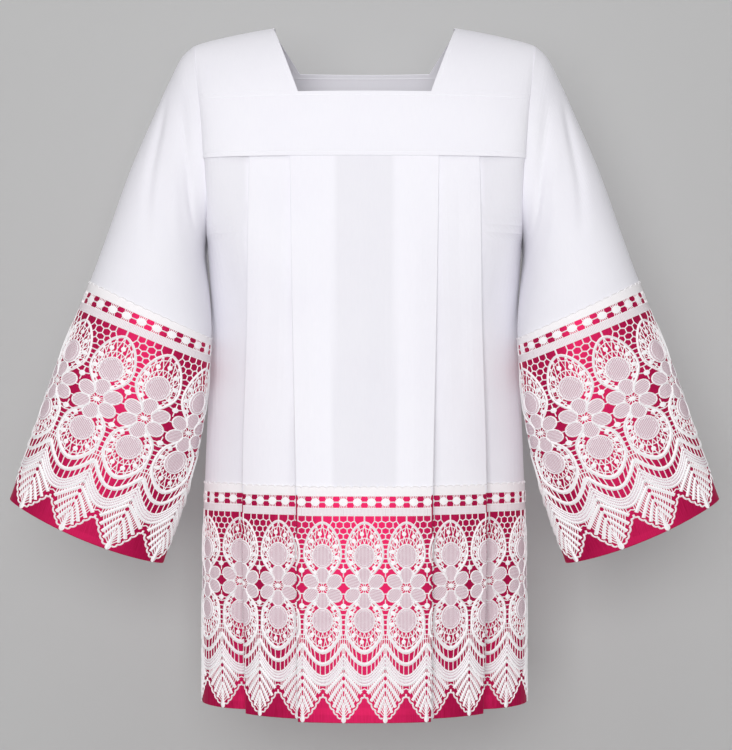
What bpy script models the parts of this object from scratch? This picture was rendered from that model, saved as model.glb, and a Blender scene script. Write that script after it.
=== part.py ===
"""A worn surplice with a square neck, a banded yoke, knife pleats, bell sleeves and deep lace over satin.

Metres, +Z up, the front towards -Y. The origin lies midway between the two points where the
straps cross the tops of the wearer's shoulders. Every piece of cloth is a lofted sheet: rows of
points worked out from the sizes below, given its thickness by a Solidify modifier.
"""

import bpy
import numpy as np

SIGN = {"front": -1.0, "back": 1.0}

# --- thicknesses and gaps -------------------------------------------------------------------
CLOTH = 0.0010
YOKE_CLOTH = 0.0014
SEAM_GAP = 0.0003
STRAP_GAP = 0.0010
FACET_ROOM = 0.0007
LACE_LIFT = CLOTH + SEAM_GAP + FACET_ROOM / 2

# --- levels, measured down from the shoulder tops --------------------------------------------
YOKE_Z = -0.178
YOKE_LAP = 0.008
YOKE_LAP_LIFT = YOKE_CLOTH / 2 + SEAM_GAP + CLOTH / 2 + FACET_ROOM
NECK_FRONT_Z = -0.100
NECK_BACK_Z = -0.050
UNDERARM_Z = -0.288
SATIN_TOP_Z = -0.628
LACE_TOP_Z = -0.616
SATIN_HEM_Z = -0.922
SIDE_HEM_RISE = 0.005

# --- neck and armhole ------------------------------------------------------------------------
NECK_HALF_TOP = 0.122
NECK_HALF_FRONT = 0.0872
NECK_HALF_BACK = 0.0907
CENTRE_TOP_Z = 0.0150
ARMHOLE_TOP = (0.2314, -0.0246)
ARMHOLE_FRONT = (0.2116, -0.186)
ARMHOLE_BOTTOM = (0.2135, UNDERARM_Z)
ARMHOLE_DEPTH = {"front": 0.088, "back": 0.080}
ROUNDNESS_ACROSS = 2.2
ROUNDNESS_AT_RIDGE = 1.25
ROUNDNESS_OVER = 1.9

# Torso sections: level, half width at the side seam, depth of the front and of the back.
TORSO = {
    "z": (-0.186, -0.288, -0.400, -0.520, -0.630, -0.780, -0.925),
    "half_width": (0.2150, 0.2135, 0.2085, 0.2135, 0.2180, 0.2205, 0.2210),
    "front": (0.1300, 0.1340, 0.1370, 0.1410, 0.1440, 0.1480, 0.1500),
    "back": (0.1180, 0.1220, 0.1250, 0.1285, 0.1310, 0.1350, 0.1380),
}

# The yoke holds the panels' sides out, down to this level. Nearest the side seam they are drawn
# in to the armhole or the seam, by this power of the distance round.
FLARE_END_Z = -0.420
SIDE_DRAW_IN = 5

# Knife pleats, the one nearer the centre first. fold_x is the edge that shows, hidden_x the turn
# beneath, step how far the next layer lies behind, fold_r and hidden_r the radii of the turns.
PLEATS = {
    "front": (
        {
            "z": (-0.186, -0.400, -0.620, -0.925),
            "fold_x": (0.0972, 0.0940, 0.0896, 0.0865),
            "hidden_x": (0.0400, 0.0400, 0.0410, 0.0430),
            "step": (0.0052, 0.0075, 0.0145, 0.0240),
            "fold_r": (0.0013, 0.0014, 0.0022, 0.0030),
            "hidden_r": (0.0013, 0.0016, 0.0035, 0.0055),
        },
        {
            "z": (-0.186, -0.400, -0.620, -0.925),
            "fold_x": (0.1510, 0.1592, 0.1715, 0.1735),
            "hidden_x": (0.0972, 0.1020, 0.1110, 0.1175),
            "step": (0.0052, 0.0110, 0.0280, 0.0560),
            "fold_r": (0.0013, 0.0016, 0.0026, 0.0034),
            "hidden_r": (0.0013, 0.0022, 0.0050, 0.0080),
        },
    ),
    "back": (
        {
            "z": (-0.186, -0.400, -0.620, -0.925),
            "fold_x": (0.0950, 0.0940, 0.0925, 0.0900),
            "hidden_x": (0.0390, 0.0395, 0.0420, 0.0450),
            "step": (0.0052, 0.0072, 0.0130, 0.0220),
            "fold_r": (0.0013, 0.0014, 0.0022, 0.0030),
            "hidden_r": (0.0013, 0.0016, 0.0035, 0.0055),
        },
        {
            "z": (-0.186, -0.400, -0.620, -0.925),
            "fold_x": (0.1500, 0.1530, 0.1575, 0.1560),
            "hidden_x": (0.0950, 0.0970, 0.1000, 0.1030),
            "step": (0.0052, 0.0100, 0.0240, 0.0460),
            "fold_r": (0.0013, 0.0016, 0.0026, 0.0034),
            "hidden_r": (0.0013, 0.0022, 0.0050, 0.0075),
        },
    ),
}

# How far the side panel's fade moves from the last fold towards its hidden turn at the hem.
PLEAT_OPENING = 0.4

# Sleeve sections from the armhole to the cuff: the outer and inner edges seen from the front,
# the middle of the section front to back, and half its depth. "down" is the length run so far.
SLEEVE = {
    "down": (0.000, 0.030, 0.065, 0.125, 0.205, 0.285, 0.345, 0.445, 0.550, 0.655),
    "outer_x": (0.2314, 0.2478, 0.2642, 0.2862, 0.3165, 0.3455, 0.3655, 0.4034, 0.4385, 0.4727),
    "outer_z": (-0.0246, -0.0397, -0.0724, -0.1243, -0.2000, -0.2880, -0.3468, -0.4415, -0.5400, -0.6375),
    "inner_x": (0.2135, 0.2160, 0.2160, 0.2135, 0.2095, 0.2062, 0.2050, 0.2132, 0.2345, 0.2690),
    "inner_z": (-0.2880, -0.2990, -0.3130, -0.3340, -0.3640, -0.3970, -0.4225, -0.5205, -0.6220, -0.7225),
    "middle_y": (-0.0040, -0.0050, -0.0080, -0.0170, -0.0320, -0.0490, -0.0600, -0.0640, -0.0640, -0.0620),
    "half_depth": (0.0840, 0.0840, 0.0835, 0.0815, 0.0785, 0.0750, 0.0720, 0.0660, 0.0585, 0.0500),
}
SLEEVE_LACE_DOWN = 0.345
SLEEVE_SATIN_DOWN = 0.357
CUFF_DOWN = 0.655
CUFF_DROOP = 0.008

# --- how finely each sheet is divided ----------------------------------------------------------
SLEEVE_COLUMNS = 24
SLEEVE_ROWS = (0.000, 0.030, 0.065, 0.125, 0.205, 0.285, SLEEVE_LACE_DOWN, SLEEVE_SATIN_DOWN)
CUFF_ROWS = (SLEEVE_SATIN_DOWN + SEAM_GAP, 0.445, 0.550, CUFF_DOWN)
PANEL_LEVELS = (YOKE_Z - SEAM_GAP, -0.225, -0.262, UNDERARM_Z, -0.400, LACE_TOP_Z, SATIN_TOP_Z)
HEM_LEVELS = (SATIN_TOP_Z - SEAM_GAP, -0.775, SATIN_HEM_Z)
FLAT_STEPS = (2, 1, 2, 1, 5)
TURN_STEPS = 3
BASE_SAMPLES = 161
SIDE_SAMPLES = 25
RING_SAMPLES = 721
HALVINGS = 50
YOKE_COLUMNS = 17
YOKE_ROWS = 5
YOKE_SPREAD = 0.8
STRAP_COLUMNS = 5
STRAP_ROWS = 6


def clear_scene():
    for thing in list(bpy.data.objects):
        bpy.data.objects.remove(thing, do_unlink=True)


def cloth_material(name, colour, roughness):
    material = bpy.data.materials.new(name)
    material.use_nodes = True
    shader = material.node_tree.nodes["Principled BSDF"]
    shader.inputs["Base Color"].default_value = (*colour, 1.0)
    shader.inputs["Roughness"].default_value = roughness
    shader.inputs["Metallic"].default_value = 0.0
    return material


def eased(at, stations, values):
    """A smooth curve through a table: cubic pieces whose slope at a station is its neighbours'."""
    stations = np.asarray(stations, float)
    values = np.asarray(values, float)
    if stations[0] > stations[-1]:
        stations, values = stations[::-1], values[::-1]
    at = np.clip(np.asarray(at, float), stations[0], stations[-1])
    slope = np.gradient(values, stations)
    i = np.clip(np.searchsorted(stations, at, side="right") - 1, 0, len(stations) - 2)
    span = stations[i + 1] - stations[i]
    t = (at - stations[i]) / span
    rise = values[i] * (2 * t**3 - 3 * t**2 + 1) + values[i + 1] * (3 * t**2 - 2 * t**3)
    lean = slope[i] * (t**3 - 2 * t**2 + t) + slope[i + 1] * (t**3 - t**2)
    return rise + lean * span


def smooth(t):
    t = np.clip(t, 0.0, 1.0)
    return t * t * (3 - 2 * t)


# --- the armhole and the shoulders --------------------------------------------------------------
def armhole_xz(angle):
    """X and Z on the armhole ring, 0 at the shoulder, 90 degrees at its front or back, 180 beneath."""
    top, front, bottom = (np.array(p) for p in (ARMHOLE_TOP, ARMHOLE_FRONT, ARMHOLE_BOTTOM))
    middle = (top + bottom) / 2
    c, s = np.cos(angle)[..., None], np.sin(angle)[..., None]
    return middle + (top - bottom) / 2 * c + (front - middle) * s * s


def armhole_point(angle, side):
    xz = armhole_xz(angle)
    y = SIGN[side] * ARMHOLE_DEPTH[side] * np.sin(angle)
    return np.stack([xz[..., 0], y, xz[..., 1]], axis=-1)


def armhole_angle(z):
    """The ring's angle at a level, by halving, because the ring falls steadily from 0 to 180."""
    low, high = np.zeros_like(z), np.full_like(z, np.pi)
    for _ in range(HALVINGS):
        mid = (low + high) / 2
        above = armhole_xz(mid)[..., 1] > z
        low, high = np.where(above, mid, low), np.where(above, high, mid)
    return (low + high) / 2


def shoulder_point(x, over, side):
    """The yoke's surface at a distance x from the centre; over is 0 at the yoke seam and 90
    degrees on the ridge of the shoulder. Each rib runs from the centre's profile to the armhole
    as a superellipse."""
    edge = armhole_point(np.pi / 2 - over, side)
    depth = float(eased(YOKE_Z, TORSO["z"], TORSO[side]))
    centre_y = SIGN[side] * depth * np.cos(over) ** (2 / ROUNDNESS_OVER)
    centre_z = YOKE_Z + (CENTRE_TOP_Z - YOKE_Z) * np.sin(over) ** (2 / ROUNDNESS_OVER)
    n = ROUNDNESS_ACROSS + (ROUNDNESS_AT_RIDGE - ROUNDNESS_ACROSS) * np.sin(over)
    share = (1 - np.clip(x / edge[..., 0], 0, 1) ** n) ** (1 / n)
    y = edge[..., 1] + (centre_y - edge[..., 1]) * share
    z = edge[..., 2] + (centre_z - edge[..., 2]) * share
    return np.stack([x + 0 * over, y, z], axis=-1)


def over_at(x, z, side):
    """How far over the shoulder the surface reaches level z, by halving."""
    x, z = np.broadcast_arrays(np.asarray(x, float), np.asarray(z, float))
    low, high = np.zeros(x.shape), np.full(x.shape, np.pi / 2)
    for _ in range(HALVINGS):
        mid = (low + high) / 2
        under = shoulder_point(x, mid, side)[..., 2] < z
        low, high = np.where(under, mid, low), np.where(under, high, mid)
    return (low + high) / 2


# --- the torso ------------------------------------------------------------------------------------
def base_curve(z, side):
    """Half a section of the torso at one level, centre to side: points, outward normals, lengths."""
    depth = float(eased(z, TORSO["z"], TORSO[side]))
    edge_x, edge_y = float(eased(z, TORSO["z"], TORSO["half_width"])), 0.0
    if z > UNDERARM_Z:
        edge = armhole_point(armhole_angle(np.array(z)), side)
        edge_x, edge_y = float(edge[0]), abs(float(edge[1]))
    turn = np.linspace(0, np.pi / 2, BASE_SAMPLES)
    power = 2 / ROUNDNESS_ACROSS
    x = edge_x * np.sin(turn) ** power
    aside = 1 - np.cos(turn) ** power
    held_out = ARMHOLE_DEPTH[side] * (1 - smooth((YOKE_Z - z) / (YOKE_Z - FLARE_END_Z)))
    y = depth * (1 - aside) + held_out * aside + (edge_y - held_out) * aside**SIDE_DRAW_IN
    y *= SIGN[side]
    points = np.stack([x, y], axis=1)
    along = np.concatenate([[0], np.cumsum(np.linalg.norm(np.diff(points, axis=0), axis=1))])
    tangent = np.gradient(points, along, axis=0)
    tangent /= np.linalg.norm(tangent, axis=1)[:, None]
    tangent[0] = (1, 0)
    normals = SIGN[side] * np.stack([-tangent[:, 1], tangent[:, 0]], axis=1)
    return points, normals, along


def fold_turns(fold, hidden, upper, lower, fold_r, hidden_r):
    """The two turns of a knife pleat and the cloth between them, as (distance along, offset).
    The straight return is the inner tangent of the two turning circles."""
    first = np.array([fold - fold_r, upper - fold_r])
    second = np.array([hidden + hidden_r, lower + hidden_r])
    gap = second - first
    heading = np.arctan2(gap[1], gap[0]) % (2 * np.pi)
    heading -= np.arcsin((fold_r + hidden_r) / np.hypot(*gap))
    slant = heading - np.pi
    out = np.linspace(np.pi / 2, -np.pi / 2 + slant, TURN_STEPS + 1)
    back = np.linspace(np.pi / 2 + slant, 3 * np.pi / 2, TURN_STEPS + 1)
    turn_out = first + fold_r * np.stack([np.cos(out), np.sin(out)], axis=1)
    turn_back = second + hidden_r * np.stack([np.cos(back), np.sin(back)], axis=1)
    return turn_out, turn_back


def folded_half(z, side):
    """The pleated half section at one level, as runs of (distance along the torso, offset): flat
    runs at even places in the list, turns at odd ones."""
    points, _, along = base_curve(z, side)
    end = along[-1] - SEAM_GAP
    runs, start, offset = [], 0.0, 0.0
    for pleat in PLEATS[side]:
        row = {key: float(eased(z, pleat["z"], pleat[key])) for key in pleat if key != "z"}
        fold, hidden = np.interp([row["fold_x"], row["hidden_x"]], points[:, 0], along)
        lower = offset - row["step"]
        out, back = fold_turns(fold, hidden, offset, lower, row["fold_r"], row["hidden_r"])
        runs += [np.array([[start, offset], out[0]]), out, np.array([out[-1], back[0]]), back]
        start, offset, last_fold = back[-1][0], lower, fold
    opened = smooth((YOKE_Z - z) / (YOKE_Z - SATIN_HEM_Z))
    leave = last_fold + (start - last_fold) * opened * PLEAT_OPENING
    side_run = np.linspace(start, end, SIDE_SAMPLES)
    fade = smooth((side_run - leave) / (end - leave))
    runs.append(np.stack([side_run, offset * (1 - fade)], axis=1))
    return runs


def sampled(run, steps):
    """A flat run divided into equal lengths."""
    along = np.concatenate([[0], np.cumsum(np.linalg.norm(np.diff(run, axis=0), axis=1))])
    at = np.linspace(0, along[-1], steps + 1)
    return np.stack([np.interp(at, along, run[:, k]) for k in range(2)], axis=1)


def half_row(z, side):
    """One level of the pleated cloth, centre to side seam, as points in X and Y."""
    flat = []
    for i, run in enumerate(folded_half(z, side)):
        part = run if i % 2 else sampled(run, FLAT_STEPS[i // 2])
        flat.append(part[1:] if flat else part)
    flat = np.concatenate(flat)
    points, normals, along = base_curve(z, side)
    place = np.stack([np.interp(flat[:, 0], along, points[:, k]) for k in range(2)], axis=1)
    facing = np.stack([np.interp(flat[:, 0], along, normals[:, k]) for k in range(2)], axis=1)
    return place + unit(facing) * flat[:, 1:2]


def full_row(z, side):
    """Both halves of a level, from the right side seam to the left."""
    half = half_row(z, side)
    row = np.concatenate([half[::-1] * (-1, 1), half[1:]])
    return np.column_stack([row, np.full(len(row), z)])


def pleated_sheet(levels, side):
    """Rows for all the levels, their columns running so that the outer face is the right side."""
    grid = np.stack([full_row(z, side) for z in levels])
    return grid if side == "front" else grid[:, ::-1]


def lift_side_hem(row):
    """The hem rises a little towards the side seams."""
    reach = np.abs(row[:, 0]) / TORSO["half_width"][-1]
    row[:, 2] += SIDE_HEM_RISE * reach**4


def outward_normals(grid, closed=False):
    """Unit normals of a grid of points, from the directions along its rows and columns."""
    if closed:
        wrapped = np.concatenate([grid[:, -1:], grid, grid[:, :1]], axis=1)
        across = unit(wrapped[:, 2:] - wrapped[:, 1:-1]) + unit(wrapped[:, 1:-1] - wrapped[:, :-2])
    else:
        step = unit(np.diff(grid, axis=1))
        across = np.concatenate([step[:, :1], step[:, 1:] + step[:, :-1], step[:, -1:]], axis=1)
    down = np.gradient(grid, axis=0)
    return unit(np.cross(down, across))


def unit(vectors):
    return vectors / np.maximum(np.linalg.norm(vectors, axis=-1, keepdims=True), 1e-12)


def mirrored(grid):
    """The same piece on the other side, its columns turned round so that it still faces out."""
    return (grid * (-1, 1, 1))[:, ::-1]


# --- making the objects ------------------------------------------------------------------------------
def sheet_object(name, grid, thickness, material, closed=False):
    """A grid of points as a mesh of quads, given its thickness evenly on both sides."""
    rows, columns = grid.shape[:2]
    index = np.arange(rows * columns).reshape(rows, columns)
    if closed:
        index = np.concatenate([index, index[:, :1]], axis=1)
    quads = np.stack([index[:-1, :-1], index[1:, :-1], index[1:, 1:], index[:-1, 1:]], axis=-1)
    mesh = bpy.data.meshes.new(name)
    mesh.from_pydata(grid.reshape(-1, 3).tolist(), [], quads.reshape(-1, 4).tolist())
    mesh.validate()
    mesh.materials.append(material)
    mesh.shade_smooth()
    thing = bpy.data.objects.new(name, mesh)
    bpy.context.scene.collection.objects.link(thing)
    wall = thing.modifiers.new("thickness", "SOLIDIFY")
    wall.thickness = thickness
    wall.offset = 0.0
    return thing


def lace_over(top_row, satin, lift, closed=False):
    """Lace from the points of the cloth beneath it, moved out."""
    grid = np.concatenate([top_row[None], satin])
    return grid + outward_normals(grid, closed) * lift


def make_torso(white, satin, lace):
    for side in ("front", "back"):
        panel = pleated_sheet(PANEL_LEVELS, side)
        hem = pleated_sheet(HEM_LEVELS, side)
        lift_side_hem(hem[-1])
        sheet_object(f"body_{side}", panel, CLOTH, white)
        sheet_object(f"satin_{side}", hem, CLOTH, satin)
        sheet_object(f"lace_{side}", lace_over(panel[-2], hem, LACE_LIFT), CLOTH, lace)


def make_yoke(white):
    """A band from the neckline to the pleats, lapping over their top edge."""
    for side, neck_z in (("front", NECK_FRONT_Z), ("back", NECK_BACK_Z)):
        across = np.linspace(-1, 1, YOKE_COLUMNS)
        across = np.sign(across) * np.abs(across) ** YOKE_SPREAD
        rows = []
        for z in np.linspace(neck_z, YOKE_Z, YOKE_ROWS):
            edge_x = float(armhole_xz(armhole_angle(np.array(z)))[0])
            x = np.abs(across) * edge_x
            row = shoulder_point(x, over_at(x, z, side), side)
            row[:, 0] *= np.sign(across)
            rows.append(row)
        rows.append(rows[-1] - (0, 0, YOKE_LAP))
        grid = np.stack(rows)
        grid = grid if side == "front" else grid[:, ::-1]
        share = np.clip((grid[..., 2] - neck_z) / (YOKE_Z - neck_z), 0, 1)
        grid = grid + outward_normals(grid) * YOKE_LAP_LIFT * share[..., None] ** 2
        sheet_object(f"yoke_{side}", grid, YOKE_CLOTH, white)


def strap_half(side, neck_z, neck_half):
    """The left strap from its seam up to the ridge of the shoulder, neck edge to armhole."""
    share = np.linspace(0, 1, STRAP_COLUMNS)
    seam_z = neck_z + STRAP_GAP
    edge_x = float(armhole_xz(armhole_angle(np.array(seam_z)))[0])
    start = over_at(neck_half + (edge_x - neck_half) * share, seam_z, side)
    rows = []
    for step in np.linspace(0, 1, STRAP_ROWS):
        over = start + (np.pi / 2 - start) * step
        level = shoulder_point(np.full(STRAP_COLUMNS, neck_half), over, side)[:, 2]
        neck_x = NECK_HALF_TOP - (NECK_HALF_TOP - neck_half) * np.clip(level / neck_z, 0, 1)
        outer_x = armhole_xz(np.pi / 2 - over)[:, 0]
        rows.append(shoulder_point(neck_x + (outer_x - neck_x) * share, over, side))
    return np.stack(rows)


def strap_grid():
    """The whole left strap, from its back seam over the shoulder to its front seam."""
    front = strap_half("front", NECK_FRONT_Z, NECK_HALF_FRONT)
    back = strap_half("back", NECK_BACK_Z, NECK_HALF_BACK)
    return np.concatenate([back[:-1], front[::-1]])


def make_straps(white):
    grid = strap_grid()
    sheet_object("strap_left", grid, YOKE_CLOTH, white)
    sheet_object("strap_right", mirrored(grid), YOKE_CLOTH, white)


def sleeve_ring(down, angles):
    """One section of the left sleeve: 0 at its outer edge, 90 degrees in front, 180 inside."""
    row = {key: float(eased(down, SLEEVE["down"], SLEEVE[key])) for key in SLEEVE if key != "down"}
    outer = np.array([row["outer_x"], row["outer_z"]])
    inner = np.array([row["inner_x"], row["inner_z"]])
    middle = (outer + inner) / 2
    rounding = 1 - smooth(down / SLEEVE["down"][4])
    bow = (np.array(ARMHOLE_FRONT) - (np.array(ARMHOLE_TOP) + np.array(ARMHOLE_BOTTOM)) / 2) * rounding
    c, s = np.cos(angles)[:, None], np.sin(angles)[:, None]
    droop = np.array([0, -CUFF_DROOP]) * smooth((down - SLEEVE_LACE_DOWN) / (CUFF_DOWN - SLEEVE_LACE_DOWN))
    xz = middle + (outer - inner) / 2 * c + (bow + droop) * s * s
    y = row["middle_y"] - row["half_depth"] * np.sin(angles)
    return np.column_stack([xz[:, 0], y, xz[:, 1]])


def even_angles(down, columns):
    """Angles that divide a section into equal lengths of cloth, from its inner edge round."""
    fine = np.linspace(np.pi, -np.pi, RING_SAMPLES)
    ring = sleeve_ring(down, fine)
    along = np.concatenate([[0], np.cumsum(np.linalg.norm(np.diff(ring, axis=0), axis=1))])
    return np.interp(np.arange(columns) / columns * along[-1], along, fine)


def sleeve_sheet(downs):
    return np.stack([sleeve_ring(d, even_angles(d, SLEEVE_COLUMNS)) for d in downs])


def armhole_clearance(grid):
    """The first section stands off the armhole: least at the shoulder, most under the arm."""
    angles = even_angles(0.0, SLEEVE_COLUMNS)
    gap = 2 * SEAM_GAP + (CLOTH + SEAM_GAP) * (1 - np.cos(angles)) / 2
    grid[0, :, 0] += gap
    return grid


def make_sleeves(white, satin, lace):
    sleeve = armhole_clearance(sleeve_sheet(SLEEVE_ROWS))
    cuff = sleeve_sheet(CUFF_ROWS)
    strip = lace_over(sleeve[-2], cuff, LACE_LIFT + FACET_ROOM / 2, closed=True)
    pieces = (("sleeve", sleeve, white), ("cuff_satin", cuff, satin), ("cuff_lace", strip, lace))
    for name, grid, material in pieces:
        sheet_object(f"{name}_left", grid, CLOTH, material, closed=True)
        sheet_object(f"{name}_right", mirrored(grid), CLOTH, material, closed=True)


def main():
    clear_scene()
    white = cloth_material("white_cloth", (0.90, 0.90, 0.93), 0.75)
    satin = cloth_material("crimson_satin", (0.60, 0.01, 0.10), 0.32)
    lace = cloth_material("white_lace", (0.92, 0.90, 0.91), 0.70)
    make_torso(white, satin, lace)
    make_yoke(white)
    make_straps(white)
    make_sleeves(white, satin, lace)


main()
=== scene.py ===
# %% [markdown]
# # A worn surplice: white cloth, knife pleats, and medallion lace over crimson satin
#
# A surplice is a loose white garment that hangs from the shoulders. This one has a square neck cut
# in a flat band, the yoke, two knife pleats at each side of the front and the back, and wide bell
# sleeves. A deep strip of white lace lies over crimson satin at the hem and at both cuffs.
#
# The cloth is made as surfaces worked out from sizes: every piece is a grid of points, with one
# direction running down the cloth and the other across it. The lace is drawn flat, once, as cords
# and leaves of thread, and then laid on the satin again and again by looking its points up in the
# satin's own grid. A picture of lace on a flat sheet would be quicker, but it has no depth, so it
# throws no shadow on the satin and its edge is never more than a line.

# %% Load the model that fixes the sizes
import bpy
import numpy as np
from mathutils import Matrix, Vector


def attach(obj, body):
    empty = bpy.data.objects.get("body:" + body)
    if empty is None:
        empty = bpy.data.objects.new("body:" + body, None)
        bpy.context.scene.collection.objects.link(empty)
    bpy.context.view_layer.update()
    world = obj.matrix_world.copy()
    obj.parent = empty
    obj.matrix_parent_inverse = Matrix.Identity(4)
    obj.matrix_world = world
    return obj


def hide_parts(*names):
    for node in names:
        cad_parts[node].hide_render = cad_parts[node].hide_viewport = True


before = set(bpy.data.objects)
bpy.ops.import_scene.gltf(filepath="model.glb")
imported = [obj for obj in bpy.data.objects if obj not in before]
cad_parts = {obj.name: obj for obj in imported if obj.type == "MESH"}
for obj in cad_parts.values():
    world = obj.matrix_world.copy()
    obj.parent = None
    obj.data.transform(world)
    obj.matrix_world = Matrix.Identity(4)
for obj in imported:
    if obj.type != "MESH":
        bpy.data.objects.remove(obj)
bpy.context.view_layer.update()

# %% [markdown]
# ## The garment's sizes
#
# All sizes are in metres, +Z up, with the front towards -Y. Heights are measured down from the tops
# of the shoulders. The tables give sections of the body, of the pleats and of the sleeves, and
# everything between two sections is eased smoothly from one to the next, as cloth would run.

# %% Sizes and section tables
SIDES = {"front": -1.0, "back": 1.0}
YOKE_Z = -0.178
YOKE_LAP = 0.008
NECK_Z = {"front": -0.100, "back": -0.050}
NECK_HALF = {"front": 0.0872, "back": 0.0907}
NECK_HALF_TOP = 0.122
CENTRE_TOP_Z = 0.0150
UNDERARM_Z = -0.288
LACE_TOP_Z = -0.616
SATIN_TOP_Z = -0.628
HEM_Z = -0.922
SIDE_HEM_RISE = 0.005
SEAM = 0.0003
LACE_LIFT = 0.0009

ARMHOLE_TOP = (0.2314, -0.0246)
ARMHOLE_FRONT = (0.2116, -0.186)
ARMHOLE_BOTTOM = (0.2135, UNDERARM_Z)
ARMHOLE_DEPTH = {"front": 0.088, "back": 0.080}
ROUNDNESS_ACROSS = 2.2
ROUNDNESS_AT_RIDGE = 1.25
ROUNDNESS_OVER = 1.9

TORSO = {
    "z": (-0.186, -0.288, -0.400, -0.520, -0.630, -0.780, -0.925),
    "half_width": (0.2150, 0.2135, 0.2085, 0.2135, 0.2180, 0.2205, 0.2210),
    "front": (0.1300, 0.1340, 0.1370, 0.1410, 0.1440, 0.1480, 0.1500),
    "back": (0.1180, 0.1220, 0.1250, 0.1285, 0.1310, 0.1350, 0.1380),
}

# The yoke holds the panels' sides out, down to this level. Nearest the side seam they are drawn
# in to the armhole or the seam, by this power of the distance round.
FLARE_END_Z = -0.420
SIDE_DRAW_IN = 5

# Each pleat: the fold that shows, the turn beneath, how far back the next layer lies, both radii.
PLEAT_Z = (-0.186, -0.400, -0.620, -0.925)
PLEATS = {
    "front": (
        {
            "z": PLEAT_Z,
            "fold_x": (0.0972, 0.0940, 0.0896, 0.0865),
            "hidden_x": (0.0400, 0.0400, 0.0410, 0.0430),
            "step": (0.0022, 0.0062, 0.0145, 0.0240),
            "fold_r": (0.0006, 0.0009, 0.0018, 0.0028),
            "hidden_r": (0.0006, 0.0012, 0.0035, 0.0055),
        },
        {
            "z": PLEAT_Z,
            "fold_x": (0.1510, 0.1592, 0.1715, 0.1735),
            "hidden_x": (0.0972, 0.0975, 0.1030, 0.1095),
            "step": (0.0022, 0.0095, 0.0280, 0.0560),
            "fold_r": (0.0006, 0.0010, 0.0022, 0.0032),
            "hidden_r": (0.0006, 0.0018, 0.0050, 0.0080),
        },
    ),
    "back": (
        {
            "z": PLEAT_Z,
            "fold_x": (0.0950, 0.0940, 0.0925, 0.0900),
            "hidden_x": (0.0390, 0.0395, 0.0420, 0.0450),
            "step": (0.0052, 0.0072, 0.0130, 0.0220),
            "fold_r": (0.0013, 0.0014, 0.0022, 0.0030),
            "hidden_r": (0.0013, 0.0016, 0.0035, 0.0055),
        },
        {
            "z": PLEAT_Z,
            "fold_x": (0.1500, 0.1530, 0.1575, 0.1560),
            "hidden_x": (0.0950, 0.0970, 0.1000, 0.1030),
            "step": (0.0052, 0.0100, 0.0240, 0.0460),
            "fold_r": (0.0013, 0.0016, 0.0026, 0.0034),
            "hidden_r": (0.0013, 0.0022, 0.0050, 0.0075),
        },
    ),
}

# How far the side panel's fade moves from the last fold towards its hidden turn at the hem.
PLEAT_OPENING = 0.4

# Sleeve sections: outer and inner edge seen from the front, middle and half depth front to back.
SLEEVE = {
    "down": (0.000, 0.030, 0.065, 0.125, 0.205, 0.285, 0.345, 0.445, 0.550, 0.655),
    "outer_x": (0.2314, 0.2478, 0.2642, 0.2862, 0.3165, 0.3455, 0.3655, 0.4034, 0.4385, 0.4727),
    "outer_z": (-0.0246, -0.0397, -0.0724, -0.1243, -0.2000, -0.2880, -0.3468, -0.4415, -0.5400, -0.6375),
    "inner_x": (0.2135, 0.2160, 0.2160, 0.2135, 0.2095, 0.2062, 0.2050, 0.2132, 0.2345, 0.2690),
    "inner_z": (-0.2880, -0.2990, -0.3130, -0.3340, -0.3640, -0.3970, -0.4225, -0.5205, -0.6220, -0.7225),
    "middle_y": (-0.0040, -0.0050, -0.0080, -0.0170, -0.0320, -0.0490, -0.0600, -0.0640, -0.0640, -0.0620),
    "half_depth": (0.0840, 0.0840, 0.0835, 0.0815, 0.0785, 0.0750, 0.0720, 0.0660, 0.0585, 0.0500),
}
SLEEVE_LACE_DOWN = 0.345
SLEEVE_SATIN_DOWN = 0.357
CUFF_DOWN = 0.655
CUFF_DROOP = 0.008

# %% [markdown]
# ## Small tools
#
# `eased` reads a table at any height. `shell` turns a grid of points into cloth with two faces: it
# moves the grid out and in along its own normals by half the cloth's thickness, which fades to
# nothing at an open edge, so the edge closes on itself like a pressed hem and no wall is missing.

# %% Curves, normals and the cloth maker
def smooth(t):
    """3t^2 - 2t^3, from 0 to 1, level at both ends."""
    t = np.clip(t, 0.0, 1.0)
    return t * t * (3 - 2 * t)


def unit(vectors):
    return vectors / np.maximum(np.linalg.norm(vectors, axis=-1, keepdims=True), 1e-12)


def eased(at, stations, values):
    """Cubic pieces through a table, each station's slope being that between its neighbours."""
    stations, values = np.asarray(stations, float), np.asarray(values, float)
    if stations[0] > stations[-1]:
        stations, values = stations[::-1], values[::-1]
    at = np.clip(np.asarray(at, float), stations[0], stations[-1])
    slope = np.gradient(values, stations)
    i = np.clip(np.searchsorted(stations, at, side="right") - 1, 0, len(stations) - 2)
    span = stations[i + 1] - stations[i]
    t = (at - stations[i]) / span
    rise = values[i] * (2 * t**3 - 3 * t**2 + 1) + values[i + 1] * (3 * t**2 - 2 * t**3)
    lean = slope[i] * (t**3 - 2 * t**2 + t) + slope[i + 1] * (t**3 - t**2)
    return rise + lean * span


def run_along(points):
    """How far along a line of points each one lies."""
    return np.concatenate([[0], np.cumsum(np.linalg.norm(np.diff(points, axis=0), axis=1))])


def at_lengths(points, wanted):
    """Points of a line at the wanted lengths along it."""
    run = run_along(points)
    return np.stack([np.interp(wanted, run, points[:, k]) for k in range(points.shape[1])], axis=1)


def grid_normals(grid, closed=False):
    """The cross product of a grid's direction down its rows and its direction across them."""
    if closed:
        across = np.roll(grid, -1, axis=1) - np.roll(grid, 1, axis=1)
    else:
        across = np.gradient(grid, axis=1)
    return unit(np.cross(np.gradient(grid, axis=0), across))


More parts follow.
